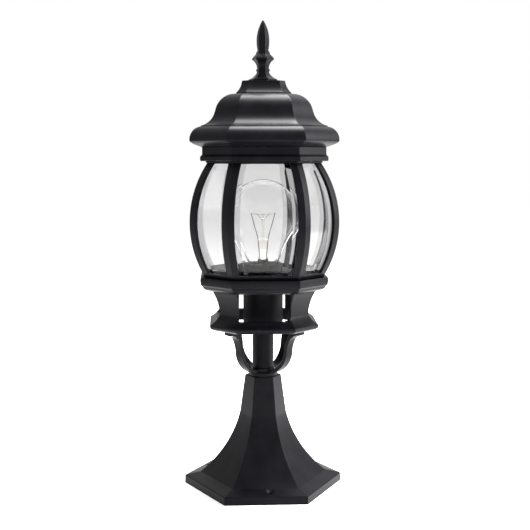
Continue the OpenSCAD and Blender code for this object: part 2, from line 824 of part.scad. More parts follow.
module frame_screws() {
  color(steel)
    for (a = [45 : 90 : 315])
      rotate([0, 0, a]) translate([frame_screw_reach, 0, 0])
        screw(1.5, frame_floor + cage_top_plate - 0.2, 2.8, 1.8, bridge_bottom);
}

// ---- bridge, heat shield, stud ----
bridge_half = frieze_reach - shell_wall - bridge_gap;
bridge_screw_reach = bridge_half - 6;
shield_top = frame_bottom - 1;
shield_thickness = 1;

module bridge_bar() {
  color(steel)
    difference() {
      translate([-bridge_half, -bridge_width / 2, bridge_bottom])
        cube([2 * bridge_half, bridge_width, bridge_thickness]);
      translate([0, 0, bridge_bottom - 1]) cylinder(r = stud_radius + 0.1, h = bridge_thickness + 2);
      for (s = [-1, 1]) {
        translate([s * bridge_screw_reach, 0, bridge_bottom - 1])
          cylinder(r = 2 + screw_clearance, h = bridge_thickness + 2);
        translate([s * shield_screw_reach, 0, bridge_bottom - 1]) cylinder(r = 1.5, h = bridge_thickness + 2);
      }
    }
}

module bridge_screws() {
  color(steel)
    for (s = [-1, 1])
      translate([s * bridge_screw_reach, 0, 0]) screw(2, bridge_thickness + frame_floor - 0.2, 3.6, 2.2, bridge_top);
}

module heat_shield() {
  color(steel)
    difference() {
      union() {
        translate([0, 0, bridge_bottom - 4]) cylinder(r = shield_radius, h = shield_thickness);
        for (s = [-1, 1])
          translate([s * shield_screw_reach, 0, bridge_bottom - 4]) cylinder(r = 3, h = 4);
      }
      for (s = [-1, 1])
        translate([s * shield_screw_reach, 0, bridge_bottom - 5]) cylinder(r = 1.5 + screw_clearance, h = 6);
      translate([0, 0, bridge_bottom - 5]) cylinder(r = stud_radius + 5, h = 6);
    }
}

module shield_screws() {
  color(black)
    for (s = [-1, 1])
      translate([s * shield_screw_reach, 0, 0])
        difference() {
          union() {
            translate([0, 0, bridge_bottom - 4]) cylinder(r = 1.5, h = 4 + bridge_thickness);
            translate([0, 0, bridge_bottom - 6.4]) cylinder(r1 = 1.8, r2 = 2.7, h = 0.9);
            translate([0, 0, bridge_bottom - 5.5]) cylinder(r = 2.7, h = 1.5);
          }
          translate([-3, -0.35, bridge_bottom - 7]) cube([6, 0.7, 1.4]);
        }
}

module roof_stud() {
  color(steel)
    union() {
      translate([0, 0, bridge_bottom - 3]) cylinder(r = stud_radius, h = stud_top - bridge_bottom + 3);
      translate([0, 0, bridge_bottom - 3]) cylinder(r = 5.4, h = 3, $fn = 6);
    }
}

module stud_nut() {
  color(steel)
    translate([0, 0, bridge_top])
      difference() {
        cylinder(r = 5.6, h = 5, $fn = 6);
        translate([0, 0, -1]) cylinder(r = stud_radius, h = 7);
      }
}

// ---- roof and crown cap ----
roof_line = concat(
  [[frieze_reach + 0.6, roof_bottom], [eave_reach - 3.4, roof_bottom + 3.3], [eave_reach - 1.1, roof_bottom + 4.8],
   [eave_reach - 0.1, roof_bottom + 5.8], [eave_reach, eave_height - 0.2]],
  arc([eave_reach, eave_height + 0.6], [groove_reach + 1.6, eave_roll_top], 2.6, 8),
  [[groove_reach + 1.6, eave_roll_top], [groove_reach - 0.6, eave_roll_top + 0.5]],
  arc([groove_reach - 0.2, eave_roll_top + 1.2], [bell_reach, bell_foot_top], -2.2, 8),
  arc([bell_reach, bell_foot_top], [bell_reach - 1.7, bell_foot_top + 5.5], -0.05, 2),
  arc([bell_reach - 1.7, bell_foot_top + 5.5], [roof_flat_reach, roof_top], 4.4, 10),
  [[roof_flat_reach, roof_top]]);
roof_inner_line = concat(
  [[frieze_reach - shell_wall - 1, roof_bottom - 1], [frieze_reach - shell_wall - 1, roof_bottom + 2.4],
   [eave_reach - 4.6, roof_bottom + 7], [eave_reach - 4.4, eave_height + 2]],
  arc([eave_reach - 4.4, eave_height + 2], [groove_reach - 2.4, eave_roll_top - roof_wall], 1.6, 5),
  arc([groove_reach - 4.4, eave_roll_top + 1.2 - roof_wall], [bell_reach - roof_wall, bell_foot_top - 1], -2.4, 7),
  arc([bell_reach - roof_wall, bell_foot_top - 1], [bell_reach - 1.9 - roof_wall, bell_foot_top + 4.5], -0.05, 2),
  arc([bell_reach - 1.9 - roof_wall, bell_foot_top + 4.5], [roof_flat_reach - 1.2, roof_top - roof_wall], 3.7, 8),
  [[roof_flat_reach - 1.2, roof_top - roof_wall]]);

roof_seam = eave_roll_top + 0.5;

module roof_part(bottom, top) {
  difference() {
    intersection() {
      eight_sided(roof_line);
      eight_block(2 * eave_reach, bottom, top);
    }
    eight_sided(roof_inner_line);
    translate([0, 0, roof_top - roof_wall - 1]) cylinder(r = stud_radius + 1, h = roof_wall + 2);
  }
}

// eave ring below the groove
module eave() {
  color(black) roof_part(roof_bottom - 1, roof_seam);
}

// bell above the groove
module roof() {
  color(black) roof_part(roof_seam, roof_top + 1);
}

cap_line = concat(
  [[cap_reach, cap_bottom], [cap_reach, cap_bottom + 0.8]],
  arc([cap_reach - 0.3, cap_bottom + 1.2], [cap_top_reach, cap_top], -1.2, 8),
  [[cap_top_reach, cap_top]]);

module crown_cap() {
  color(black)
    difference() {
      eight_sided(cap_line);
      eight_sided([[cap_reach - 3.5, cap_bottom - 1], [cap_top_reach - 3, cap_top - 3]]);
      translate([0, 0, cap_bottom - 1]) cylinder(r = stud_radius + 1, h = cap_height + 2);
    }
}

// ---- finial ----
flat = cos(30);
knob_height = finial_bottom + 22.6;
neck_height = finial_bottom + 14.3;
spear_foot = knob_height + 9.4;
spear_belly = spear_foot + 9.3;
finial_line = concat(
  [[finial_foot_radius, finial_bottom], [finial_foot_radius, finial_bottom + 1.5]],
  arc([finial_foot_radius - 1.2, finial_bottom + 2], [finial_neck_radius, finial_bottom + 9], -0.9, 6),
  arc([finial_neck_radius + 0.2, finial_bottom + 9.6], [finial_neck_radius + 0.2, neck_height - 1.8], 0.9, 4),
  arc([finial_neck_radius, neck_height - 1.4], [finial_knob_radius - 0.3, knob_height - 0.6], -1.5, 6),
  [[finial_knob_radius, knob_height], [finial_knob_radius - 0.8, knob_height + 1.4],
   [finial_knob_radius - 2.6, knob_height + 3.4], [spear_radius + 0.8, knob_height + 5.3],
   [spear_radius + 0.4, knob_height + 7], [spear_radius - 0.9, spear_foot - 0.4]],
  arc([spear_radius - 0.9, spear_foot + 0.6], [spear_radius, spear_belly], 0.2, 3),
  arc([spear_radius, spear_belly], [0.8, tip_height], 1.6, 9),
  [[0.8, tip_height]]);

module finial() {
  color(black)
    rotate([0, 0, finial_turn])
      difference() {
        six_sided([for (p = finial_line) [p.x * flat, p.y]]);
        translate([0, 0, finial_bottom - 1]) cylinder(r = stud_radius + stud_clearance, h = stud_top - finial_bottom + 2);
      }
}

module finial_washer() {
  color(steel) ring(8, stud_radius + stud_clearance, cap_top, finial_bottom);
}

// ---- lamp cup and lampholder ----
cup_rim_thickness = 1.5;
cup_lip_radius = shroud_radius - 2;

module lamp_cup() {
  flange_top = cage_floor_top + cup_rim_thickness;
  color(black)
    difference() {
      union() {
        translate([0, 0, cup_bottom]) cylinder(r = cup_radius, h = flange_top - cup_bottom);
        translate([0, 0, cage_floor_top]) cylinder(r = cup_radius + 4, h = cup_rim_thickness);
        translate([0, 0, cage_floor_top]) cylinder(r = cup_lip_radius, h = 6);
      }
      translate([0, 0, cup_floor_top]) cylinder(r = cup_radius - cup_wall, h = cage_floor_top - cup_floor_top);
      translate([0, 0, cage_floor_top - 1]) cylinder(r = cup_lip_radius - cup_wall, h = 8);
      translate([0, 0, cup_bottom - 1]) cylinder(r = rod_radius + screw_clearance, h = cup_floor + 2);
    }
}

module holder_shroud() {
  color(black)
    difference() {
      translate([0, 0, cage_floor_top + cup_rim_thickness])
        cylinder(r = shroud_radius, h = shroud_top - cage_floor_top - cup_rim_thickness);
      translate([0, 0, cage_floor_top]) cylinder(r = shroud_radius - 1.6, h = shroud_top - cage_floor_top - 1.5);
      translate([0, 0, cage_floor_top]) cylinder(r = bulb_cap_radius + 3.9, h = 40);
    }
}

module holder_base() {
  color(white)
    difference() {
      translate([0, 0, holder_base_bottom]) cylinder(r = holder_radius, h = holder_bottom - holder_base_bottom);
      translate([0, 0, holder_base_bottom - 1]) cylinder(r = rod_radius, h = holder_base_height + 2);
      translate([0, 0, rod_top]) cylinder(r = holder_radius - 4, h = holder_base_height);
    }
}

shell_outer = bulb_cap_radius + bulb_clearance + 0.5;
socket_floor = bulb_bottom - 4;

module lampholder() {
  color(white)
    difference() {
      translate([0, 0, holder_bottom]) cylinder(r = holder_radius, h = holder_top - holder_bottom);
      translate([0, 0, holder_bottom - 1]) cylinder(r = holder_radius - 4, h = 9);
      translate([0, 0, socket_floor]) cylinder(r = shell_outer, h = 40);
      for (s = [-1, 1])
        translate([s * 9, 0, holder_bottom]) cylinder(r = 1.8, h = 30);
    }
}

module holder_shell() {
  color(brass)
    union() {
      difference() {
        translate([0, 0, socket_floor]) cylinder(r = shell_outer, h = holder_top - 1 - socket_floor);
        translate([0, 0, socket_floor + 0.8]) cylinder(r = shell_outer - 0.5, h = 40);
        translate([0, 0, socket_floor - 1]) cylinder(r = 7.5, h = 4);
        translate([-9, 0, socket_floor - 1]) cylinder(r = 2.4, h = 4);
      }
      translate([8.4, -1.5, holder_bottom + 5]) cube([0.8, 3, socket_floor - holder_bottom - 5 + 0.4]);
    }
}

module holder_contact() {
  color(brass)
    union() {
      translate([-4, -2.5, bulb_bottom - 0.7]) cube([8, 5, 0.6]);
      translate([-4, -2.5, socket_floor]) cube([0.6, 5, 3.9]);
      translate([-9.6, -1.5, socket_floor]) cube([6.2, 3, 0.6]);
      translate([-9.6, -1.5, holder_bottom + 5]) cube([0.8, 3, socket_floor - holder_bottom - 4.6]);
    }
}

// ---- bulb ----
bulb_centre = bulb_top - bulb_radius;
cap_shoulder = bulb_bottom + 25;
join = [bulb_radius * cos(35), bulb_centre - bulb_radius * sin(35)];
bulb_line = concat(
  [[bulb_cap_radius - 1.6, cap_shoulder - 4], [bulb_cap_radius - 1.6, cap_shoulder + 0.05]],
  arc([bulb_cap_radius, cap_shoulder + 0.25], [bulb_neck_radius, cap_shoulder + 12], 0.4, 4),
  arc([bulb_neck_radius, cap_shoulder + 12], join, -0.8, 8),
  [for (i = [0 : 18]) let (t = -35 + 125 * i / 18) [bulb_radius * cos(t), bulb_centre + bulb_radius * sin(t)]]);
bulb_inside = [for (p = beside(bulb_line, bulb_glass_thickness)) [max(p.x, 0), p.y]];

module bulb_glass() {
  color(clear)
    rotate_extrude()
      polygon(concat([for (i = [0 : len(bulb_line) - 2]) bulb_line[i]], [[0, bulb_top]],
        [[0, bulb_top - bulb_glass_thickness]],
        reversed([for (i = [0 : len(bulb_inside) - 2]) bulb_inside[i]])));
}

module bulb_cap() {
  color(brass)
    rotate_extrude()
      polygon(concat(
        [[bulb_cap_radius - 3.4, bulb_bottom + 3.2]],
        [for (i = [0 : 5]) for (q = [[-0.9, 0.2], [0, 1.6]]) [bulb_cap_radius + q.x, bulb_bottom + 3.4 + 3.1 * i + q.y]],
        [[bulb_cap_radius - 0.9, bulb_bottom + 22], [bulb_cap_radius + 0.1, bulb_bottom + 22.6],
         [bulb_cap_radius + 0.1, cap_shoulder], [bulb_cap_radius - 1.5, cap_shoulder],
         [bulb_cap_radius - 1.5, bulb_bottom + 5], [bulb_cap_radius - 3.4, bulb_bottom + 4]]));
}

module bulb_insulator() {
  color([0.1, 0.1, 0.12])
    difference() {
      translate([0, 0, bulb_bottom + 1]) cylinder(r1 = 6, r2 = bulb_cap_radius - 3.4, h = 2.8);
      translate([0, 0, bulb_bottom]) cylinder(r = 4.6, h = 2);
    }
}

module bulb_contact() {
  color(steel)
    union() {
      translate([0, 0, bulb_bottom]) cylinder(r1 = 3.2, r2 = 4.5, h = 0.8);
      translate([0, 0, bulb_bottom + 0.8]) cylinder(r = 4.5, h = 1.1);
    }
}

press_bottom = cap_shoulder + 15;
press_top = cap_shoulder + 29;
filament_height = bulb_centre;
stem_flare = bulb_cap_radius - 1.6 - bulb_glass_thickness - 0.1;

module bulb_stem() {
  color(clear)
    union() {
      rotate_extrude()
        polygon([[0, cap_shoulder - 3], [stem_flare, cap_shoulder - 3],
          [stem_flare, cap_shoulder - 2.4], [6.4, cap_shoulder + 4], [5, cap_shoulder + 9],
          [4.4, press_bottom + 2], [0, press_bottom + 2]]);
      translate([-6, -1.6, press_bottom]) cube([12, 3.2, press_top - press_bottom]);
      translate([0, 0, press_top - tiny]) cylinder(r = 1.5, h = filament_height - 6 - press_top);
      translate([0, 0, filament_height - 6]) sphere(r = 2.2);
    }
}

// straight round bar from a to b
module rod(a, b, r) {
  d = b - a;
  translate(a)
    rotate([0, acos(d.z / norm(d)), atan2(d.y, d.x)])
      cylinder(r = r, h = norm(d), $fn = 16);
}

module bulb_leads() {
  color(steel)
    union() {
      for (s = [-1, 1]) {
        foot = [s * 4.4, 0, press_top - 10];
        elbow = [s * 5.6, 0, press_top + 1.5];
        end = [s * 13, 0, filament_height + 1.5];
        rod(foot, elbow, 0.4);
        translate(elbow) sphere(r = 0.6);
        rod(elbow, end, 0.4);
      }
      for (x = [-6.3, 0, 6.3])
        rod([x / 8, 0, filament_height - 6], [x, 0, filament_height - 0.2], 0.25);
    }
}

module filament() {
  turns = [for (x = [-12.6 : 6.3 : 12.6]) [x, 0, filament_height + 1.2 * pow(x / 12.6, 2)]];
  color([0.5, 0.45, 0.4])
    union() {
      for (i = [0 : 3]) rod(turns[i], turns[i + 1], 0.4);
      for (i = [1 : 3]) translate(turns[i]) sphere(r = 0.55);
    }
}

// ---- wires held inside the lamp ----
module live_wire() {
  color([0.45, 0.25, 0.12])
    tube(concat(
      [[-4.5, strip_back - block.y + 3.6, block_bottom + 4], [-4.5, strip_back - block.y + 3.6, block_bottom + block.z]],
      bend([-4.5, strip_back - block.y + 3.6, block_bottom + block.z + 0.5], [-1.4, 1, rod_bottom - 2], [-1.4, 0, rod_bottom + 3], 8),
      [[-1.4, 0, rod_top - 2]],
      bend([-1.4, 0, rod_top], [-11.6, 0, rod_top + 5], [-11.4, 0, holder_bottom + 7], 8)), wire_radius, 8);
}

module neutral_wire() {
  color([0.15, 0.3, 0.6])
    tube(concat(
      [[4.5, strip_back - block.y + 3.6, block_bottom + 4], [4.5, strip_back - block.y + 3.6, block_bottom + block.z]],
      bend([4.5, strip_back - block.y + 3.6, block_bottom + block.z + 0.5], [1.4, 1, rod_bottom - 2], [1.4, 0, rod_bottom + 3], 8),
      [[1.4, 0, rod_top - 2]],
      bend([1.4, 0, rod_top], [11.2, 0, rod_top + 5], [11, 0, holder_bottom + 7], 8)), wire_radius, 8);
}

module earth_wire() {
  color([0.4, 0.6, 0.15])
    tube(concat(
      bend([4.5, strip_back - block.y + 3.6, block_bottom + 3], [4.6, strip_back - block.y + 3.6, strip_foot + 8],
        [0, strip_back - 3.8, strip_foot + 6], 10)), wire_radius, 8);
}

plinth();
pedestal();
yoke();
stem_tube();
threaded_tube();
terminal_strip();
base_washer();
base_nut();
terminal_block();
terminal_screws();
earth_screw();
collar();
collar_straps();
collar_flange();
yoke_screws();
lamp_cup();
cup_washer();
cup_nut();
cage_base();
cage_screws();
floor_plate();
cage_rail();
cage_ribs();
cage_head();
wide_panes();
corner_panes();
pane_clips();
glass_retainer();
top_frame();
frame_screws();
bridge_bar();
bridge_screws();
heat_shield();
shield_screws();
roof_stud();
stud_nut();
eave();
roof();
crown_cap();
finial_washer();
finial();
holder_shroud();
holder_base();
lampholder();
holder_shell();
holder_contact();
bulb_glass();
bulb_cap();
bulb_insulator();
bulb_contact();
bulb_stem();
bulb_leads();
filament();
live_wire();
neutral_wire();
earth_wire();
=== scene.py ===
import math

import bmesh
import bpy
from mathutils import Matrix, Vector


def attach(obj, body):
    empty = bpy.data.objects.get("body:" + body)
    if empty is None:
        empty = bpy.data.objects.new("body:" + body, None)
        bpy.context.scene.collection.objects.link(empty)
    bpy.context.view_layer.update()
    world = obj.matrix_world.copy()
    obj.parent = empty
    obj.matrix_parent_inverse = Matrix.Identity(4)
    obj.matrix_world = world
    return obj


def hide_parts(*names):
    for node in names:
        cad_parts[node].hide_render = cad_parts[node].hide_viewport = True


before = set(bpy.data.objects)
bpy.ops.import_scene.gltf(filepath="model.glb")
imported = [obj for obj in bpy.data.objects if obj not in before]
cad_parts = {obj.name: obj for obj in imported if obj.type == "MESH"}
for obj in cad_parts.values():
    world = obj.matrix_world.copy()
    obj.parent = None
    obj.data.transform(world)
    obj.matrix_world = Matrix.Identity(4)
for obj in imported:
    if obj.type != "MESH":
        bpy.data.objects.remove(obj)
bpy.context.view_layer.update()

# ---- sizes in millimetres ----
# They follow the part's source. The bulb's wall, the filament, its support wires and the
# thread of the bulb's cap are drawn finer here than there.
MM = 0.001
CANT = 5
CORNER_EASE = 1.3
SHAFT_FOOT = 60
SHAFT_WALL = 3.5
FIXING_RADIUS = 66
FIXING_TURNS = (-86, 34, 154)
TUBE_WAY = 5.1
FOOT = 12.3
HUB_BOTTOM = 121.3
STEM_BOTTOM = 129.8
STEM_IN = 9.5
STEM_OUT = 11.5
ARM_HALF = 5.5
ARM_THICK = 3.5
PAD_IN = 42.1
PAD_OUT = 55.1
PAD_BOTTOM = 171.6
SCREW_REACH = 50.5
COLLAR_BOTTOM = 174.4
COLLAR_IN = 43
STRAP_THICK = 4
CUP_BOTTOM = 176.4
CUP_FLANGE = 227.9
SILL = 186.9
WAIST = 190.9
STRAP_TOP = 217
COLLAR_TOP = 222.9
WINDOW_HALF = 27
FLOOR_TOP = 226.4
LEDGE = 232.4
BASE_TOP = 232.5
RAIL_TOP = 237.6
CAGE_REACH = 77.9
BELLY = 290.2
RIB_CURVE = 113
RIB_LEG = 7.3
CORNER_LEG = 8.4
RIB_THICK = 4
RAIL_WIDE = 16
HEAD_OVER = 1.4
HEAD_WIDE = 14.8
TRAY_IN = 63.86
CAGE_TOP = 352.2
FRAME_BOTTOM = 354
FRAME_TOP = 368.5
ROOF_BOTTOM = 368.7
ROOF_SEAM = 389.8
ROOF_TOP = 424
CAP_TOP = 437.6
FINIAL_BOTTOM = 438.6
FINIAL_TURN = -11
GLASS_GAP = 0.3
GLASS_OUT = RIB_THICK + GLASS_GAP
GLASS_IN = GLASS_OUT + 3
BEVEL_WIDE = 9.3
BEVEL_DEEP = 1.5
BULB_RADIUS = 37.5
BULB_CENTRE = 296.9
BULB_WALL = 0.6
BULB_NECK_TURN = 35
CAP_SHOULDER = 241.4
FILAMENT = BULB_CENTRE
HOOK_STEP = 6.3
COIL_HALF = 12.5
COIL_RADIUS = 0.3
COIL_TURNS = 46
COIL_SIDES = 8
THREAD_FOOT = 219.8
THREAD_LONG = 18
THREAD_PITCH = 3.6
CAP_SIDES = 48


# ---- outlines ----
def wide_half(reach):
    """half width of a wide side of the eight-sided outline at this distance from the axis"""
    return math.sqrt(2) * (reach + CANT) - reach


def eight(reach):
    b = wide_half(reach)
    return [(reach, -b), (reach, b), (b, reach), (-b, reach),
            (-reach, b), (-reach, -b), (-b, -reach), (b, -reach)]


def six(reach):
    r = reach / math.cos(math.pi / 6)
    return [(r * math.cos(k * math.pi / 3), r * math.sin(k * math.pi / 3)) for k in range(6)]


def arc(start, end, sag, steps):
    """points of a circular arc without its end; a positive sag lies to the right of the way"""
    a, b = Vector(start), Vector(end)
    length = (b - a).length
    along = (b - a) / length
    side = Vector((along.y, -along.x)) * (1 if sag > 0 else -1)
    sag = abs(sag)
    r = (length * length / 4 + sag * sag) / (2 * sag)
    half = 2 * math.atan(2 * sag / length)
    centre = (a + b) / 2 - side * (r - sag)
    turns = [half * (2 * i / steps - 1) for i in range(steps)]
    return [tuple(centre + r * (side * math.cos(t) + along * math.sin(t))) for t in turns]


def rounded(points, radius, steps=3, closed=True, straight=181):
    """the line with its corners turned into small arcs, apart from corners wider than straight"""
    line = [Vector(p) for p in points]
    out = []
    for i, p in enumerate(line):
        if not closed and i in (0, len(line) - 1):
            out.append(p)
            continue
        a = line[i - 1] - p
        b = line[(i + 1) % len(line)] - p
        angle = a.angle(b)
        if angle > math.radians(straight):
            out.append(p)
            continue
        slope = math.tan(angle / 2)
        cut = min(radius / slope, 0.45 * a.length, 0.45 * b.length)
        r = cut * slope
        centre = p + (a.normalized() + b.normalized()).normalized() * (r / math.sin(angle / 2))
        first = p + a.normalized() * cut - centre
        last = p + b.normalized() * cut - centre
        for k in range(steps + 1):
            out.append(centre + first.lerp(last, k / steps).normalized() * r)
    return [tuple(p) for p in out]


def soft(line, radius):
    """an open outline with its sharp edges eased"""
    return rounded(line, radius, 2, False, 160)


def reach_at(line, z):
    """distance from the axis of an outline at height z"""
    for (a, low), (b, high) in zip(line, line[1:]):
        if low <= z <= high and high > low:
            return a + (b - a) * (z - low) / (high - low)
    return line[0][0] if z < line[0][1] else line[-1][0]


def rib_at(z):
    return CAGE_REACH - RIB_CURVE + math.sqrt(RIB_CURVE**2 - (z - BELLY) ** 2)


def levels(low, high, count):
    return [low + (high - low) * i / count for i in range(count + 1)]


# ---- rings of points, all in millimetres ----
def ring(shape, reach, z, corner, turn):
    flat = rounded(shape(reach), corner)
    c, s = math.cos(turn), math.sin(turn)
    return [(x * c - y * s, x * s + y * c, z) for x, y in flat]


def circle(radius, z, count, centre=(0, 0)):
    turns = [2 * math.pi * k / count for k in range(count)]
    return [(centre[0] + radius * math.cos(t), centre[1] + radius * math.sin(t), z) for t in turns]


def circle_like(other, radius, z):
    """circle whose points lie in the directions of another ring's points"""
    turns = [math.atan2(p[1], p[0]) for p in other]
    return [(radius * math.cos(t), radius * math.sin(t), z) for t in turns]


def lofted(shape, outline, corner, hole=(), inner=(), turn=0):
    """rings up an outline, in through a hole and down an inner outline"""
    rings = [ring(shape, a, z, corner, turn) for a, z in outline]
    rings += [circle_like(rings[0], r, z) for r, z in hole]
    return rings + [ring(shape, a, z, corner, turn) for a, z in inner]


def lathe(profile, count=64):
    return [circle(r, z, count) for r, z in profile]


def turned(points, angle):
    c, s = math.cos(angle), math.sin(angle)
    return [(x * c - y * s, x * s + y * c, z) for x, y, z in points]


def tube_rings(path, radius, sides=10, guide=(0, 1, 0)):
    """rings round a path that stays away from the guide direction"""
    line = [Vector(p) for p in path]
    rings = []
    for i, p in enumerate(line):
        along = (line[min(i + 1, len(line) - 1)] - line[max(i - 1, 0)]).normalized()
        e = along.cross(Vector(guide)).normalized()
        f = e.cross(along)
        turns = [2 * math.pi * k / sides for k in range(sides)]
        rings.append([tuple(p + radius * (e * math.cos(t) + f * math.sin(t))) for t in turns])
    return rings


# ---- meshes ----
def add_skin(bm, rings, loop):
    """a closed skin over rings of equal length: its ends are capped unless it loops round"""
    n = len(rings[0])
    verts = [[bm.verts.new(Vector(p) * MM) for p in r] for r in rings]
    faces = []
    for i in range(len(rings) if loop else len(rings) - 1):
        a, b = verts[i], verts[(i + 1) % len(rings)]
        for k in range(n):
            m = (k + 1) % n
            faces.append(bm.faces.new((a[k], a[m], b[m], b[k])))
    if not loop:
        faces.append(bm.faces.new(list(reversed(verts[0]))))
        faces.append(bm.faces.new(verts[-1]))
    bmesh.ops.recalc_face_normals(bm, faces=faces)


def raw(name, shells, loop):
    """one plain object made of closed skins"""
    bm = bmesh.new()
    for rings in shells:
        add_skin(bm, rings, loop)
    mesh = bpy.data.meshes.new(name)
    bm.to_mesh(mesh)
    bm.free()
    obj = bpy.data.objects.new(name, mesh)
    bpy.context.scene.collection.objects.link(obj)
    return obj


def weigh(obj):
    """shades the flat faces flat up to their eased edges"""
    m = obj.modifiers.new("flat_faces", "WEIGHTED_NORMAL")
    m.keep_sharp = True
    m.weight = 90


def cut_out(obj, cutter):
    """takes the cutter out of the mesh"""
    m = obj.modifiers.new("cut", "BOOLEAN")
    m.operation = "DIFFERENCE"
    m.solver = "EXACT"
    m.object = cutter
    bpy.context.view_layer.update()
    cut = bpy.data.meshes.new_from_object(obj.evaluated_get(bpy.context.evaluated_depsgraph_get()))
    obj.modifiers.remove(m)
    obj.data = cut
    bpy.data.objects.remove(cutter)


def piece(name, shells, slot, body="base", stands_for=(), cutter=None, sharp=38, loop=False,
          look=None):
    """an object of closed skins that rides on a body; it has the finish of its slot or its own look"""
    obj = raw(name, shells, loop)
    if cutter:
        cut_out(obj, cutter)
    for p in obj.data.polygons:
        p.use_smooth = True
    obj.data.set_sharp_from_angle(angle=math.radians(sharp))
    weigh(obj)
    obj.data.materials.clear()
    obj.data.materials.append(finish[look or slot])
    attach(obj, body)
    if stands_for:
        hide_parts(*stands_for)
    return obj


# ---- finishes ----
def add(tree, kind, **values):
    node = tree.nodes.new(kind)
    for key, value in values.items():
        setattr(node, key, value)
    return node


def new_material(name):
    m = bpy.data.materials.new(name)
    m.use_nodes = True
    return m, m.node_tree, m.node_tree.nodes["Principled BSDF"]


def surface(name, dark, light, patch, rough, grain, bump, metal=0.0, **own):
    """colour and roughness drift over patches; the height varies with a finer grain"""
    m, tree, shader = new_material(name)
    place = add(tree, "ShaderNodeTexCoord")
    broad = add(tree, "ShaderNodeTexNoise")
    broad.inputs["Scale"].default_value = patch
    broad.inputs["Detail"].default_value = 4
    fine = add(tree, "ShaderNodeTexNoise")
    fine.inputs["Scale"].default_value = grain
    fine.inputs["Detail"].default_value = 3
    tones = add(tree, "ShaderNodeValToRGB")
    tones.color_ramp.elements[0].position = 0.35
    tones.color_ramp.elements[1].position = 0.68
    tones.color_ramp.elements[0].color = (*dark, 1)
    tones.color_ramp.elements[1].color = (*light, 1)
    gloss = add(tree, "ShaderNodeMapRange")
    gloss.inputs["To Min"].default_value = rough[0]
    gloss.inputs["To Max"].default_value = rough[1]
    height = add(tree, "ShaderNodeBump")
    height.inputs["Strength"].default_value = bump[0]
    height.inputs["Distance"].default_value = bump[1] * MM
    link = tree.links.new
    link(place.outputs["Object"], broad.inputs["Vector"])
    link(place.outputs["Object"], fine.inputs["Vector"])
    link(broad.outputs["Fac"], tones.inputs["Fac"])
    link(tones.outputs["Color"], shader.inputs["Base Color"])
    link(broad.outputs["Fac"], gloss.inputs["Value"])
    link(gloss.outputs["Result"], shader.inputs["Roughness"])
    link(fine.outputs["Fac"], height.inputs["Height"])
    link(height.outputs["Normal"], shader.inputs["Normal"])
    shader.inputs["Metallic"].default_value = metal
    for key, value in own.items():
        shader.inputs[key.replace("_", " ")].default_value = value
    return m


def glass(name, tint, index, shine, bevel_shade_tint=None):
    """glass with a faint waviness; shadow rays pass straight through it, dimmed by its tint. Faces marked
    as ground bevels can take a darker grey tint, which is painted shade on the bevels
    """
    m, tree, shader = new_material(name)
    shader.inputs["Base Color"].default_value = (*tint, 1)
    shader.inputs["Roughness"].default_value = 0.0
    shader.inputs["IOR"].default_value = index
    shader.inputs["Transmission Weight"].default_value = 1.0
    shader.inputs["Specular Tint"].default_value = (shine, shine, shine, 1)
    place = add(tree, "ShaderNodeTexCoord")
    wave = add(tree, "ShaderNodeTexNoise")
    wave.inputs["Scale"].default_value = 45
    height = add(tree, "ShaderNodeBump")
    height.inputs["Strength"].default_value = 0.04
    height.inputs["Distance"].default_value = 0.2 * MM
    path = add(tree, "ShaderNodeLightPath")
    clear = add(tree, "ShaderNodeBsdfTransparent")
    clear.inputs["Color"].default_value = (*tint, 1)
    mix = add(tree, "ShaderNodeMixShader")
    link = tree.links.new
    link(place.outputs["Object"], wave.inputs["Vector"])
    link(wave.outputs["Fac"], height.inputs["Height"])
    link(height.outputs["Normal"], shader.inputs["Normal"])
    # the marked bevel faces take the second, darker tint: painted shade on the ground bevels
    if bevel_shade_tint:
        ground = add(tree, "ShaderNodeAttribute", attribute_name="ground")
        tints = add(tree, "ShaderNodeValToRGB")
        tints.color_ramp.elements[0].color = (*tint, 1)
        tints.color_ramp.elements[1].color = (*bevel_shade_tint, 1)
        link(ground.outputs["Fac"], tints.inputs["Fac"])
        link(tints.outputs["Color"], shader.inputs["Base Color"])
    link(path.outputs["Is Shadow Ray"], mix.inputs["Fac"])
    link(shader.outputs["BSDF"], mix.inputs[1])
    link(clear.outputs["BSDF"], mix.inputs[2])
    link(mix.outputs["Shader"], tree.nodes["Material Output"].inputs["Surface"])
    return m


POWDER = dict(patch=60, rough=(0.33, 0.41), grain=1400, bump=(0.12, 0.05), Specular_IOR_Level=0.075)
MATT = dict(POWDER, rough=(0.5, 0.6), Specular_IOR_Level=0.06)
ZINC = dict(patch=120, rough=(0.26, 0.42), grain=900, bump=(0.1, 0.03), metal=1.0)
BRASS = dict(patch=150, rough=(0.22, 0.4), grain=800, bump=(0.08, 0.03), metal=1.0)
CAP_METAL = dict(patch=140, rough=(0.2, 0.34), grain=800, bump=(0.06, 0.03), metal=1.0)
SOLDER = dict(patch=400, rough=(0.3, 0.5), grain=900, bump=(0.3, 0.1), metal=1.0)
PLASTIC = dict(patch=90, rough=(0.4, 0.5), grain=1500, bump=(0.08, 0.03))
GLAZE = dict(patch=70, rough=(0.1, 0.18), grain=600, bump=(0.05, 0.03))
DARK_GLASS = dict(patch=90, rough=(0.08, 0.16), grain=600, bump=(0.04, 0.03))
LEAD = dict(patch=300, rough=(0.3, 0.45), grain=900, bump=(0.05, 0.02), metal=1.0)
TUNGSTEN = dict(patch=500, rough=(0.35, 0.5), grain=900, bump=(0.05, 0.02), metal=1.0)
INSULATION = dict(patch=150, rough=(0.35, 0.5), grain=900, bump=(0.05, 0.02))
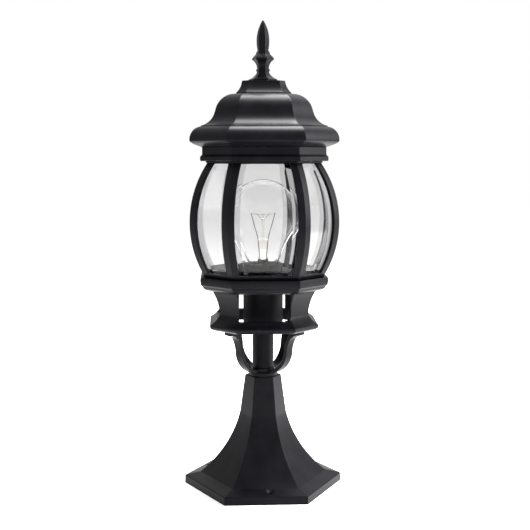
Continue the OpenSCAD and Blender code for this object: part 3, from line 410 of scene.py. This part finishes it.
SURFACES = {
    "black_casting": ((0.0035, 0.0033, 0.0046), (0.0065, 0.0061, 0.0081), POWDER),
    "black_steel": ((0.0035, 0.0033, 0.0046), (0.0065, 0.0061, 0.0081), MATT),
    "zinc_steel": ((0.5, 0.51, 0.52), (0.66, 0.67, 0.68), ZINC),
    "brass": ((0.62, 0.46, 0.2), (0.78, 0.6, 0.3), BRASS),
    "bulb_cap_metal": ((0.6, 0.55, 0.42), (0.74, 0.69, 0.56), CAP_METAL),
    "solder": ((0.5, 0.5, 0.52), (0.66, 0.66, 0.68), SOLDER),
    "white_plastic": ((0.8, 0.79, 0.75), (0.86, 0.85, 0.81), PLASTIC),
    "porcelain": ((0.82, 0.8, 0.74), (0.87, 0.85, 0.8), GLAZE),
    "black_glass": ((0.02, 0.02, 0.025), (0.035, 0.035, 0.04), DARK_GLASS),
    "lead_wire": ((0.05, 0.036, 0.022), (0.1, 0.07, 0.045), LEAD),
    "filament": ((0.22, 0.2, 0.18), (0.32, 0.3, 0.27), TUNGSTEN),
    "brown_wire": ((0.2, 0.09, 0.04), (0.28, 0.13, 0.06), INSULATION),
    "blue_wire": ((0.06, 0.16, 0.42), (0.1, 0.22, 0.52), INSULATION),
    "green_wire": ((0.25, 0.42, 0.06), (0.34, 0.52, 0.1), INSULATION),
}
finish = {name: surface(name, dark, light, **how) for name, (dark, light, how) in SURFACES.items()}
# the darker grey on the ground bevels of the panes is painted shade
finish["clear_pane"] = glass("clear_pane", (0.84, 0.84, 0.84), 1.43, 0.4, (0.5, 0.5, 0.51))
finish["bulb_glass"] = glass("bulb_glass", (1, 1, 1), 1.22, 1.0)
finish["stem_glass"] = glass("stem_glass", (0.93, 0.905, 0.85), 1.08, 0.4)

# ---- plinth and pedestal ----
plinth_line = soft([(75.1, 0), (74.9, 7.9), (74.1, 8.9), (SHAFT_FOOT, FOOT)], 0.4)
sink = [(2.75, -1), (2.75, 8.65), (6.03, 12.55), (6.03, 14)]
holes = []
for turn in FIXING_TURNS:
    at = (FIXING_RADIUS * math.cos(math.radians(turn)), FIXING_RADIUS * math.sin(math.radians(turn)))
    holes.append([circle(r, z, 32, at) for r, z in sink])
plinth_line += [(SHAFT_FOOT - SHAFT_WALL, FOOT), (SHAFT_FOOT - SHAFT_WALL, 0)]
piece("plinth_plate", [lofted(six, plinth_line, 1.2)], "black_casting",
      stands_for=["plinth"], cutter=raw("fixing_holes", holes, False), loop=True)

flare = arc((SHAFT_FOOT, FOOT), (22, 80.9), -6.1, 20) + [(22, 80.9)]
body_inside = [(13.6, 115.3)] + [(a - SHAFT_WALL, z) for a, z in reversed(flare)]
piece("pedestal_body",
      [lofted(six, flare + [(17.25, 120.6), (16.8, HUB_BOTTOM)], 1.1,
              [(TUBE_WAY, HUB_BOTTOM), (TUBE_WAY, 115.3)], body_inside)],
      "black_casting", stands_for=["pedestal"], loop=True)

# ---- yoke: hub, four curved arms that sweep out into their foot pads ----
hub = soft([(16, HUB_BOTTOM), (16, 125.5), (13, 125.5), (13, STEM_BOTTOM),
            (TUBE_WAY, STEM_BOTTOM)], 0.6)
arm_low = (arc((18, 125.7), (38.2, 148), 4, 14) + arc((38.2, 148), (47, PAD_BOTTOM), -2.2, 12)
           + [(47, PAD_BOTTOM)])
sweep = arc((45.4, 166.6), (53.3, PAD_BOTTOM), -1.3, 8) + [(53.3, PAD_BOTTOM)]


def arm(turn):
    """rings of one curved arm: a flat bar from inside the hub, wider where it meets its foot pad"""
    line = [Vector(p) for p in arm_low]
    pairs = [(Vector((8, 123.3)), Vector((8, 128.8)))]
    for i, p in enumerate(line):
        way = (line[min(i + 1, len(line) - 1)] - line[max(i - 1, 0)]).normalized()
        top = p + Vector((-way.y, way.x)) * ARM_THICK
        low = p
        if p.y > sweep[0][1]:
            low = Vector((max(p.x, reach_at(sweep, min(p.y, PAD_BOTTOM))), p.y))
        pairs.append((low, top))
    rings = []
    for low, top in pairs:
        thick = (top - low).length
        flat = rounded([(0, -ARM_HALF), (thick, -ARM_HALF), (thick, ARM_HALF), (0, ARM_HALF)], 0.9)
        along = (top - low) / thick
        rings.append([((low + along * d).x, y, (low + along * d).y) for d, y in flat])
    return [turned(r, turn) for r in rings]


def pad(turn):
    """foot pad below the rim of the collar"""
    corners = [(PAD_IN, -ARM_HALF), (PAD_OUT, -ARM_HALF), (PAD_OUT, ARM_HALF), (PAD_IN, ARM_HALF)]
    section = rounded(corners, 1.2)
    centre = Vector(((PAD_IN + PAD_OUT) / 2, 0))
    rings = []
    for shrink, z in ((0.95, PAD_BOTTOM - 0.3), (1, PAD_BOTTOM + 0.2), (1, COLLAR_BOTTOM)):
        rings.append([(*(centre + (Vector(p) - centre) * shrink), z) for p in section])
    return [turned(r, turn) for r in rings]


diagonals = [math.radians(a) for a in (45, 135, 225, 315)]
quarters = [math.radians(a) for a in (0, 90, 180, 270)]
piece("yoke_hub", [lathe([(TUBE_WAY, HUB_BOTTOM)] + hub)], "black_casting", loop=True)
pocket = [circle(2.9, z, 24, (SCREW_REACH, 0)) for z in (159.4, PAD_BOTTOM + 0.4)]
pockets = raw("screw_pockets", [[turned(r, t) for r in pocket] for t in diagonals], False)
piece("yoke_arms", [arm(t) for t in diagonals], "black_casting", stands_for=["yoke"], cutter=pockets)
piece("yoke_pads", [pad(t) for t in diagonals], "black_casting")

stem_line = [(STEM_IN, STEM_BOTTOM), (STEM_OUT, STEM_BOTTOM),
             (STEM_OUT, CUP_BOTTOM), (STEM_IN, CUP_BOTTOM)]
piece("stem_pipe", [lathe(soft(stem_line, 0.4))], "black_steel", stands_for=["stem_tube"], loop=True)

# ---- collar: rim, four straps at the corners, flange ----
rim_line = ([(48, COLLAR_BOTTOM), (48.4, 175), (54.2, 175.6), (57.1, 177.6), (57.8, 179.8)]
            + arc((57.5, 181.2), (47.5, WAIST), -0.9, 10) + [(47.5, WAIST)])
strap_line = arc((47.5, WAIST), (54.5, STRAP_TOP), -2, 12) + [(54.5, STRAP_TOP)]
flange_line = [(54.5, STRAP_TOP)] + arc((57.9, 218.4), (64.86, 222.3), 1, 5) + [(64.86, COLLAR_TOP)]
outside = rim_line + strap_line[1:]
inside = [(COLLAR_IN, SILL)] + [(a - STRAP_THICK, z) for a, z in strap_line]


def strap(turn):
    """rings of one strap: the corner side with a narrow return on each wide side"""
    w = WINDOW_HALF
    rings = []
    for z in levels(SILL - 0.6, STRAP_TOP + 0.6, 20):
        section = []
        for reach in (reach_at(outside, z), reach_at(inside, z)):
            total = math.sqrt(2) * (reach + CANT)
            b = max(wide_half(reach), w + 0.3)
            edge = min(reach, total - w)
            side = [(edge, w), (total - b, b), (b, total - b), (w, edge)]
            section.append(side)
        flat = rounded(section[0] + section[1][::-1], 0.6, 2)
        rings.append([(x, y, z) for x, y in flat])
    return [turned(r, turn) for r in rings]


rim_outside = soft([p for p in rim_line if p[1] < SILL] + [(reach_at(rim_line, SILL), SILL)], 0.7)
rim_outside += [(COLLAR_IN, SILL), (COLLAR_IN, COLLAR_BOTTOM)]
piece("collar_rim", [lofted(eight, rim_outside, CORNER_EASE)], "black_casting",
      stands_for=["collar"], loop=True)
piece("collar_corner_straps", [strap(t) for t in quarters], "black_casting", stands_for=["collar_straps"])
flange_ring = soft(flange_line, 0.5) + [(COLLAR_IN, COLLAR_TOP), (COLLAR_IN, STRAP_TOP)]
piece("collar_top", [lofted(eight, flange_ring, CORNER_EASE)], "black_casting",
      stands_for=["collar_flange"], loop=True)

# ---- lamp cup and shroud ----
cup_line = [(18, 232.4), (19.4, 232.4), (19.4, CUP_FLANGE), (25.6, CUP_FLANGE), (25.6, FLOOR_TOP),
            (21.6, FLOOR_TOP), (21.6, CUP_BOTTOM), (TUBE_WAY, CUP_BOTTOM), (TUBE_WAY, 178.9),
            (20.2, 178.9), (20.2, FLOOR_TOP), (18, FLOOR_TOP)]
piece("lamp_cup_turned", [lathe(rounded(cup_line, 0.5, 2))], "black_steel",
      stands_for=["lamp_cup"], loop=True)
shroud_line = [(19.8, CUP_FLANGE), (21.4, CUP_FLANGE), (21.4, 244.4), (17, 244.4),
               (17, 242.9), (19.8, 242.9)]
piece("holder_sleeve", [lathe(rounded(shroud_line, 0.5, 2))], "black_steel",
      stands_for=["holder_shroud"], loop=True)

# ---- cage base, rail, ribs and head ----
base_line = soft([(64.86, COLLAR_TOP), (66.76, 224.9), (67.46, 229.4), (66.96, BASE_TOP),
                  (TRAY_IN, BASE_TOP)], 0.5)
base_rings = lofted(eight, base_line + [(TRAY_IN, FLOOR_TOP)], CORNER_EASE)
base_rings += [circle_like(base_rings[0], 21.8, z) for z in (FLOOR_TOP, COLLAR_TOP)]
piece("cage_base_tray", [base_rings], "black_casting", stands_for=["cage_base"], loop=True)

rail_line = soft([(rib_at(z), z) for z in levels(FLOOR_TOP, RAIL_TOP, 4)]
                 + [(rib_at(RAIL_TOP) - RIB_THICK, RAIL_TOP)], 0.7)
ledge_edge = rib_at(LEDGE)
rail_line += [(ledge_edge - RIB_THICK, LEDGE), (ledge_edge - RAIL_WIDE, LEDGE),
              (ledge_edge - RAIL_WIDE, FLOOR_TOP)]
head_edge = rib_at(CAGE_TOP) + HEAD_OVER
head_line = soft([(head_edge - 0.3, CAGE_TOP), (head_edge, CAGE_TOP + 0.4),
                  (head_edge, FRAME_BOTTOM)], 0.3)
head_line += [(head_edge - HEAD_WIDE, FRAME_BOTTOM), (head_edge - HEAD_WIDE, CAGE_TOP)]


def rib(turn, side):
    """rings of one angle rib on the edge between a wide side and a corner side"""
    rings = []
    for z in levels(RAIL_TOP - 1, CAGE_TOP, 30):
        a = rib_at(z)
        b = wide_half(a)
        leg = CORNER_LEG / math.sqrt(2)
        deep = RIB_THICK / math.sqrt(2)
        inner = wide_half(a - RIB_THICK)
        flat = [(a, b), (a - leg, b + leg), (a - leg - deep, b + leg - deep),
                (a - RIB_THICK, inner), (a - RIB_THICK, b - RIB_LEG), (a, b - RIB_LEG)]
        rings.append([(x, side * y, z) for x, y in rounded(flat, 0.8)])
    return [turned(r, turn) for r in rings]


piece("cage_rail_ring", [lofted(eight, rail_line, CORNER_EASE)], "black_casting",
      stands_for=["cage_rail"], loop=True)
piece("cage_head_ring", [lofted(eight, head_line, CORNER_EASE)], "black_casting",
      stands_for=["cage_head"], loop=True)
piece("cage_corner_ribs", [rib(t, s) for t in quarters for s in (1, -1)], "black_casting",
      stands_for=["cage_ribs"])


# ---- panes with ground bevels along their upright edges ----
# the two sides of a pane's outline that are ground, counted round it from its outer face
BEVEL_SIDES = (1, 5)


def corner_half(reach):
    return (reach - wide_half(reach)) / math.sqrt(2)


def pane(turn, extra, half):
    """rings of one pane; half gives the half width of its side at a distance from the axis"""
    rings = []
    for z in levels(LEDGE + GLASS_GAP, CAGE_TOP - GLASS_GAP, 28):
        a = rib_at(z)
        w = half(a - GLASS_IN) - 0.5
        out, back = a - GLASS_OUT + extra, a - GLASS_IN + extra
        flat = [(out, -(w - BEVEL_WIDE)), (out, w - BEVEL_WIDE), (out - BEVEL_DEEP, w),
                (back, w), (back, -w), (out - BEVEL_DEEP, -w)]
        rings.append([(x, y, z) for x, y in flat])
    return [turned(r, turn) for r in rings]


def mark_bevels(obj, shell):
    """gives the faces of the two ground bevels of each pane a value of 1, which the glass reads to paint
    shade on them as a darker grey tint
    """
    sides = len(shell[0])
    walls = (len(shell) - 1) * sides
    caps = 2
    ground = obj.data.attributes.new("ground", "FLOAT", "FACE")
    for i, face in enumerate(ground.data):
        at = i % (walls + caps)
        face.value = float(at < walls and at % sides in BEVEL_SIDES)


for name, shells, node in (
        ("wide_pane_set", [pane(t, 0, wide_half) for t in quarters], "wide_panes"),
        ("corner_pane_set", [pane(t, CANT, corner_half) for t in diagonals], "corner_panes")):
    mark_bevels(piece(name, shells, "clear_pane", stands_for=[node], sharp=8), shells[0])

# ---- top frame ----
frame_line = soft([(65.67, FRAME_BOTTOM), (66.67, 354.8), (66.67, 358.6), (65.17, 360), (64.57, 361),
                   (64.57, FRAME_TOP), (61.57, FRAME_TOP)], 0.5)
frame_line += [(61.57, 356.5), (45.97, 356.5), (45.97, FRAME_BOTTOM)]
piece("top_frame_ring", [lofted(eight, frame_line, CORNER_EASE)], "black_casting",
      stands_for=["top_frame"], loop=True)

# ---- roof: eave ring, bell, crown cap ----
eave_line = ([(65.17, ROOF_BOTTOM), (74, 372), (76.3, 373.5), (77.3, 374.5), (77.4, 375.7)]
             + arc((77.4, 376.5), (67.6, 389.3), 2.6, 14) + [(67.6, 389.3), (65.4, ROOF_SEAM)])
eave_inside = ([(61.6, ROOF_SEAM)] + arc((63.6, 386.5), (73, 377.9), -1.6, 6)
               + [(73, 377.9), (72.8, 375.7), (60.57, 371.1), (60.57, ROOF_BOTTOM)])
piece("eave_ring", [lofted(eight, soft(eave_line, 0.5) + eave_inside, CORNER_EASE)], "black_casting",
      "roof", ["eave"], loop=True)

bell_line = ([(65.4, ROOF_SEAM)] + arc((65.8, 390.5), (52.2, 402.1), -2.2, 12)
             + [(52.2, 402.1), (51.25, 404.8)] + arc((50.5, 407.6), (30.2, ROOF_TOP), 4.4, 16)
             + [(30.2, ROOF_TOP)])
bell_inside = (arc((29, 421.2), (47.5, 406.6), -3.7, 10) + [(47.5, 406.6), (48.6, 403.8)]
               + arc((49.4, 401.1), (61, ROOF_SEAM), 2.4, 8) + [(61, ROOF_SEAM)])
STUD_WAY = 4
bell_hole = [(STUD_WAY, ROOF_TOP), (STUD_WAY, 421.2)]
piece("bell_casting", [lofted(eight, soft(bell_line, 0.4), CORNER_EASE, bell_hole, bell_inside)],
      "black_casting", "roof", ["roof"], loop=True)

cap_line = ([(28.5, ROOF_TOP), (29, 424.4), (29, 424.8)]
            + arc((28.7, 425.2), (22.5, CAP_TOP), -1.2, 10) + [(22.5, CAP_TOP)])
cap_hole = [(STUD_WAY, CAP_TOP), (STUD_WAY, 434.6)]
cap_inside = [(19.5, 434.6), (25.5, ROOF_TOP)]
piece("crown_cap_casting", [lofted(eight, soft(cap_line, 0.4), 0.9, cap_hole, cap_inside)],
      "black_casting", "roof", ["crown_cap"], loop=True)

# ---- finial ----
finial_line = ([(15.5, FINIAL_BOTTOM), (15.5, 440.1)] + arc((14.3, 440.6), (6.4, 447.6), -0.9, 10)
               + arc((6.6, 448.2), (6.6, 451.1), 0.9, 5) + arc((6.4, 451.5), (11.9, 460.6), -1.5, 10)
               + [(12.2, 461.2), (11.4, 462.6), (9.6, 464.6), (7.7, 466.5), (7.3, 468.2), (6, 470.2)]
               + arc((6, 471.2), (6.9, 479.9), 0.2, 4) + arc((6.9, 479.9), (0.8, 501.4), 1.6, 14)
               + [(0.8, 501.4)])
to_flat = math.cos(math.pi / 6)
finial_rings = lofted(six, [(r * to_flat, z) for r, z in soft(finial_line, 0.35)], 0.5,
                      turn=math.radians(FINIAL_TURN))
bore = [circle_like(finial_rings[0], 3.06, z) for z in (451.4, FINIAL_BOTTOM)]
piece("finial_casting", [bore + finial_rings], "black_casting", "finial", ["finial"])

# ---- bulb ----
def on_bulb(degrees):
    """point of the round part of the bulb's outline, as degrees above its centre"""
    t = math.radians(degrees)
    return (BULB_RADIUS * math.cos(t), BULB_CENTRE + BULB_RADIUS * math.sin(t))


bulb_line = ([(11.5, CAP_SHOULDER - 4), (11.5, CAP_SHOULDER + 0.05)]
             + arc((13.1, CAP_SHOULDER + 0.25), (19.8, 253.4), 0.4, 8)
             + arc((19.8, 253.4), on_bulb(-BULB_NECK_TURN), -0.8, 14)
             + [on_bulb(t) for t in levels(-BULB_NECK_TURN, 89.4, 40)])
inner_line = []
for i, (r, z) in enumerate(bulb_line):
    before, after = bulb_line[max(i - 1, 0)], bulb_line[min(i + 1, len(bulb_line) - 1)]
    way = (Vector(after) - Vector(before)).normalized()
    inner_line.append((max(r - BULB_WALL * way.y, 0.2), z + BULB_WALL * way.x))
piece("bulb_envelope", [lathe(inner_line[::-1] + bulb_line, 96)], "bulb_glass", "bulb",
      ["bulb_glass"], sharp=60)


def oval(wide, deep, z, power, count=48):
    """ring between an ellipse and a box, as power goes up from 2"""
    out = []
    for k in range(count):
        t = 2 * math.pi * k / count
        c, s = math.cos(t), math.sin(t)
        out.append((wide * math.copysign(abs(c) ** (2 / power), c),
                    deep * math.copysign(abs(s) ** (2 / power), s), z))
    return out


stem_shape = [(10.5, 10.5, 238.4, 2), (10.4, 10.4, 239, 2), (6.3, 6.3, 245.4, 2), (4.9, 4.9, 250.4, 2),
              (4.4, 4.4, 254.4, 2), (5.2, 2.6, 257.9, 2.6), (5.9, 1.6, 260.4, 4), (5.9, 1.6, 268.8, 4),
              (5.2, 1.4, 270, 3), (1.6, 1.5, 270.8, 2), (1.5, 1.5, 272.4, 2), (1.5, 1.5, 288.8, 2),
              (2, 2, 289.8, 2), (2.2, 2.2, 290.9, 2), (2, 2, 292, 2), (0.6, 0.6, 292.9, 2)]
piece("bulb_stem_glass", [[oval(*s) for s in stem_shape]], "bulb_glass", "bulb", ["bulb_stem"],
      sharp=60, look="stem_glass")

lead_line = [(2.6, 244.4), (3.4, 252.4), (4.4, 260.4), (4.8, 264.4), (5.2, 268.4), (5.8, 272.6),
             (9.4, 285.4), (12.6, 296.9), (13, 298.4)]
lead_shells = [tube_rings([(side * x, 0, z) for x, z in lead_line], 0.4) for side in (-1, 1)]
for x in (-HOOK_STEP, 0, HOOK_STEP):
    hook = [(x / 8, 0, 290.9), (x * 0.8, 0, 295.4), (x, 0, 297.2)]
    lead_shells.append(tube_rings(hook, 0.22, 8))
piece("bulb_lead_wires", lead_shells, "lead_wire", "bulb", ["bulb_leads"], sharp=60)

coil = []
coil_steps = COIL_TURNS * COIL_SIDES
for i in range(coil_steps + 1):
    x = -COIL_HALF + 2 * COIL_HALF * i / coil_steps
    hang = 0.35 * abs(math.sin(math.pi * x / HOOK_STEP))
    middle = FILAMENT + 1.2 * (x / (2 * HOOK_STEP)) ** 2 - hang
    t = 2 * math.pi * i / COIL_SIDES
    coil.append((x, COIL_RADIUS * math.cos(t), middle + COIL_RADIUS * math.sin(t)))
piece("filament_coil", [tube_rings(coil, 0.08, 5, (1, 0, 0))], "filament", "bulb", ["filament"], sharp=60)


def thread_ring(z):
    """one ring of the rolled screw thread of the bulb's cap, which fades out at both ends"""
    points = []
    fade = min(1, (z - THREAD_FOOT) / 2, (THREAD_FOOT + THREAD_LONG - z) / 2)
    for k in range(CAP_SIDES):
        t = 2 * math.pi * k / CAP_SIDES
        wave = 0.5 - 0.5 * math.cos(2 * math.pi * ((z - THREAD_FOOT) / THREAD_PITCH - k / CAP_SIDES))
        r = 12.3 + 0.8 * wave * fade
        points.append((r * math.cos(t), r * math.sin(t), z))
    return points


cap_rings = [circle(9.7, 219.6, CAP_SIDES)]
cap_rings += [thread_ring(z) for z in levels(THREAD_FOOT, THREAD_FOOT + THREAD_LONG, 72)]
cap_rings += [circle(r, z, CAP_SIDES) for r, z in ((13, 238.8), (13.1, 241.3), (11.6, 241.4), (11.6, 221.4),
                                                   (9.7, 220.4))]
piece("bulb_screw_cap", [cap_rings], "bulb_cap_metal", "bulb", ["bulb_cap"], loop=True, sharp=50)

# ---- the CAD nodes that stay, with eased edges and their finishes ----
WELD = 0.01
EDGE_EASE = 0.15
KEPT = {
    "black_steel": ["floor_plate", "glass_retainer", "heat_shield", "shield_screws"],
    "zinc_steel": ["threaded_tube", "terminal_strip", "base_washer", "base_nut", "cup_washer", "cup_nut",
                   "yoke_screws", "cage_screws", "frame_screws", "bridge_bar", "bridge_screws", "roof_stud",
                   "stud_nut", "finial_washer", "pane_clips"],
    "brass": ["terminal_screws", "earth_screw", "holder_shell", "holder_contact"],
    "solder": ["bulb_contact"],
    "white_plastic": ["terminal_block"],
    "porcelain": ["lampholder", "holder_base"],
    "black_glass": ["bulb_insulator"],
    "brown_wire": ["live_wire"],
    "blue_wire": ["neutral_wire"],
    "green_wire": ["earth_wire"],
}
for slot, names in KEPT.items():
    for name in names:
        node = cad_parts[name]
        weld = node.modifiers.new("weld", "WELD")
        weld.merge_threshold = WELD * MM
        ease = node.modifiers.new("eased_edges", "BEVEL")
        ease.width = EDGE_EASE * MM
        ease.segments = 2
        ease.limit_method = "ANGLE"
        ease.angle_limit = math.radians(40)
        weigh(node)
        node.data.materials.clear()
        node.data.materials.append(finish[slot])


# ---- floor, light, camera ----
WHITE = (1, 1, 1, 1)
WORLD_LIGHT = 0.5
FLOOR_GREY = 0.86
FLOOR_LIFT = 0.6
FLOOR_RADIUS = 6


def seen_white(tree, plain, white):
    """the white shader for camera, mirror and glass rays, the plain one for light"""
    rays = add(tree, "ShaderNodeLightPath")
    first = add(tree, "ShaderNodeMath", operation="MAXIMUM")
    second = add(tree, "ShaderNodeMath", operation="MAXIMUM")
    mix = add(tree, "ShaderNodeMixShader")
    link = tree.links.new
    link(rays.outputs["Is Camera Ray"], first.inputs[0])
    link(rays.outputs["Is Transmission Ray"], first.inputs[1])
    link(first.outputs[0], second.inputs[0])
    link(rays.outputs["Is Glossy Ray"], second.inputs[1])
    link(second.outputs[0], mix.inputs["Fac"])
    link(plain.outputs[0], mix.inputs[1])
    link(white.outputs[0], mix.inputs[2])
    return mix


world = bpy.data.worlds.new("studio")
bpy.context.scene.world = world
world.use_nodes = True
tree = world.node_tree
plain = tree.nodes["Background"]
plain.inputs["Color"].default_value = WHITE
plain.inputs["Strength"].default_value = WORLD_LIGHT
white = add(tree, "ShaderNodeBackground")
white.inputs["Color"].default_value = WHITE
white.inputs["Strength"].default_value = 1.0
tree.links.new(seen_white(tree, plain, white).outputs[0], tree.nodes["World Output"].inputs["Surface"])

floor_material, tree, shader = new_material("pale_floor")
shader.inputs["Base Color"].default_value = (FLOOR_GREY, FLOOR_GREY, FLOOR_GREY, 1)
shader.inputs["Roughness"].default_value = 0.9
shader.inputs["Specular IOR Level"].default_value = 0.0
lift = add(tree, "ShaderNodeEmission")
lift.inputs["Strength"].default_value = FLOOR_LIFT
both = add(tree, "ShaderNodeAddShader")
tree.links.new(shader.outputs[0], both.inputs[0])
tree.links.new(lift.outputs[0], both.inputs[1])
tree.links.new(seen_white(tree, shader, both).outputs[0], tree.nodes["Material Output"].inputs["Surface"])

bm = bmesh.new()
bmesh.ops.create_circle(bm, cap_ends=True, segments=64, radius=FLOOR_RADIUS)
floor_mesh = bpy.data.meshes.new("floor")
bm.to_mesh(floor_mesh)
bm.free()
floor = bpy.data.objects.new("floor", floor_mesh)
floor.data.materials.append(floor_material)
bpy.context.scene.collection.objects.link(floor)


def softbox(name, at, target, size, power):
    """a rectangular lamp that points at the target, unseen by camera and glass rays; metres and watts"""
    lamp = bpy.data.lights.new(name, "AREA")
    lamp.shape = "RECTANGLE"
    lamp.size, lamp.size_y = size
    lamp.energy = power
    obj = bpy.data.objects.new(name, lamp)
    obj.location = at
    obj.rotation_mode = "QUATERNION"
    obj.rotation_quaternion = (Vector(target) - Vector(at)).to_track_quat("-Z", "Y")
    obj.visible_camera = False
    obj.visible_transmission = False
    bpy.context.scene.collection.objects.link(obj)


softbox("key_right", at=(1.5, -0.25, 0.9), target=(0, 0, 0.25), size=(0.6, 1.3), power=58)
softbox("fill_top", at=(0.25, 0.3, 1.6), target=(0, 0, 0.3), size=(0.8, 0.8), power=76)

# the camera's place in metres, its turn and its lens are fitted to the photo
CAMERA_AT = (-0.0465, -1.0245, 0.3571)
SENSOR_WIDTH = 36
LENS = 64.58
TURN = math.radians(2.72)
DOWN = math.radians(6.41)
camera = bpy.data.objects.new("photo_camera", bpy.data.cameras.new("photo_camera"))
camera.data.sensor_width = SENSOR_WIDTH
camera.data.lens = LENS
camera.location = CAMERA_AT
aim = Vector((math.sin(TURN) * math.cos(DOWN), math.cos(TURN) * math.cos(DOWN), -math.sin(DOWN)))
camera.rotation_mode = "QUATERNION"
camera.rotation_quaternion = aim.to_track_quat("-Z", "Y")
camera.data.clip_start = 0.05
camera.data.clip_end = 50
bpy.context.scene.collection.objects.link(camera)
bpy.context.scene.camera = camera
bpy.context.scene.view_settings.view_transform = "Standard"
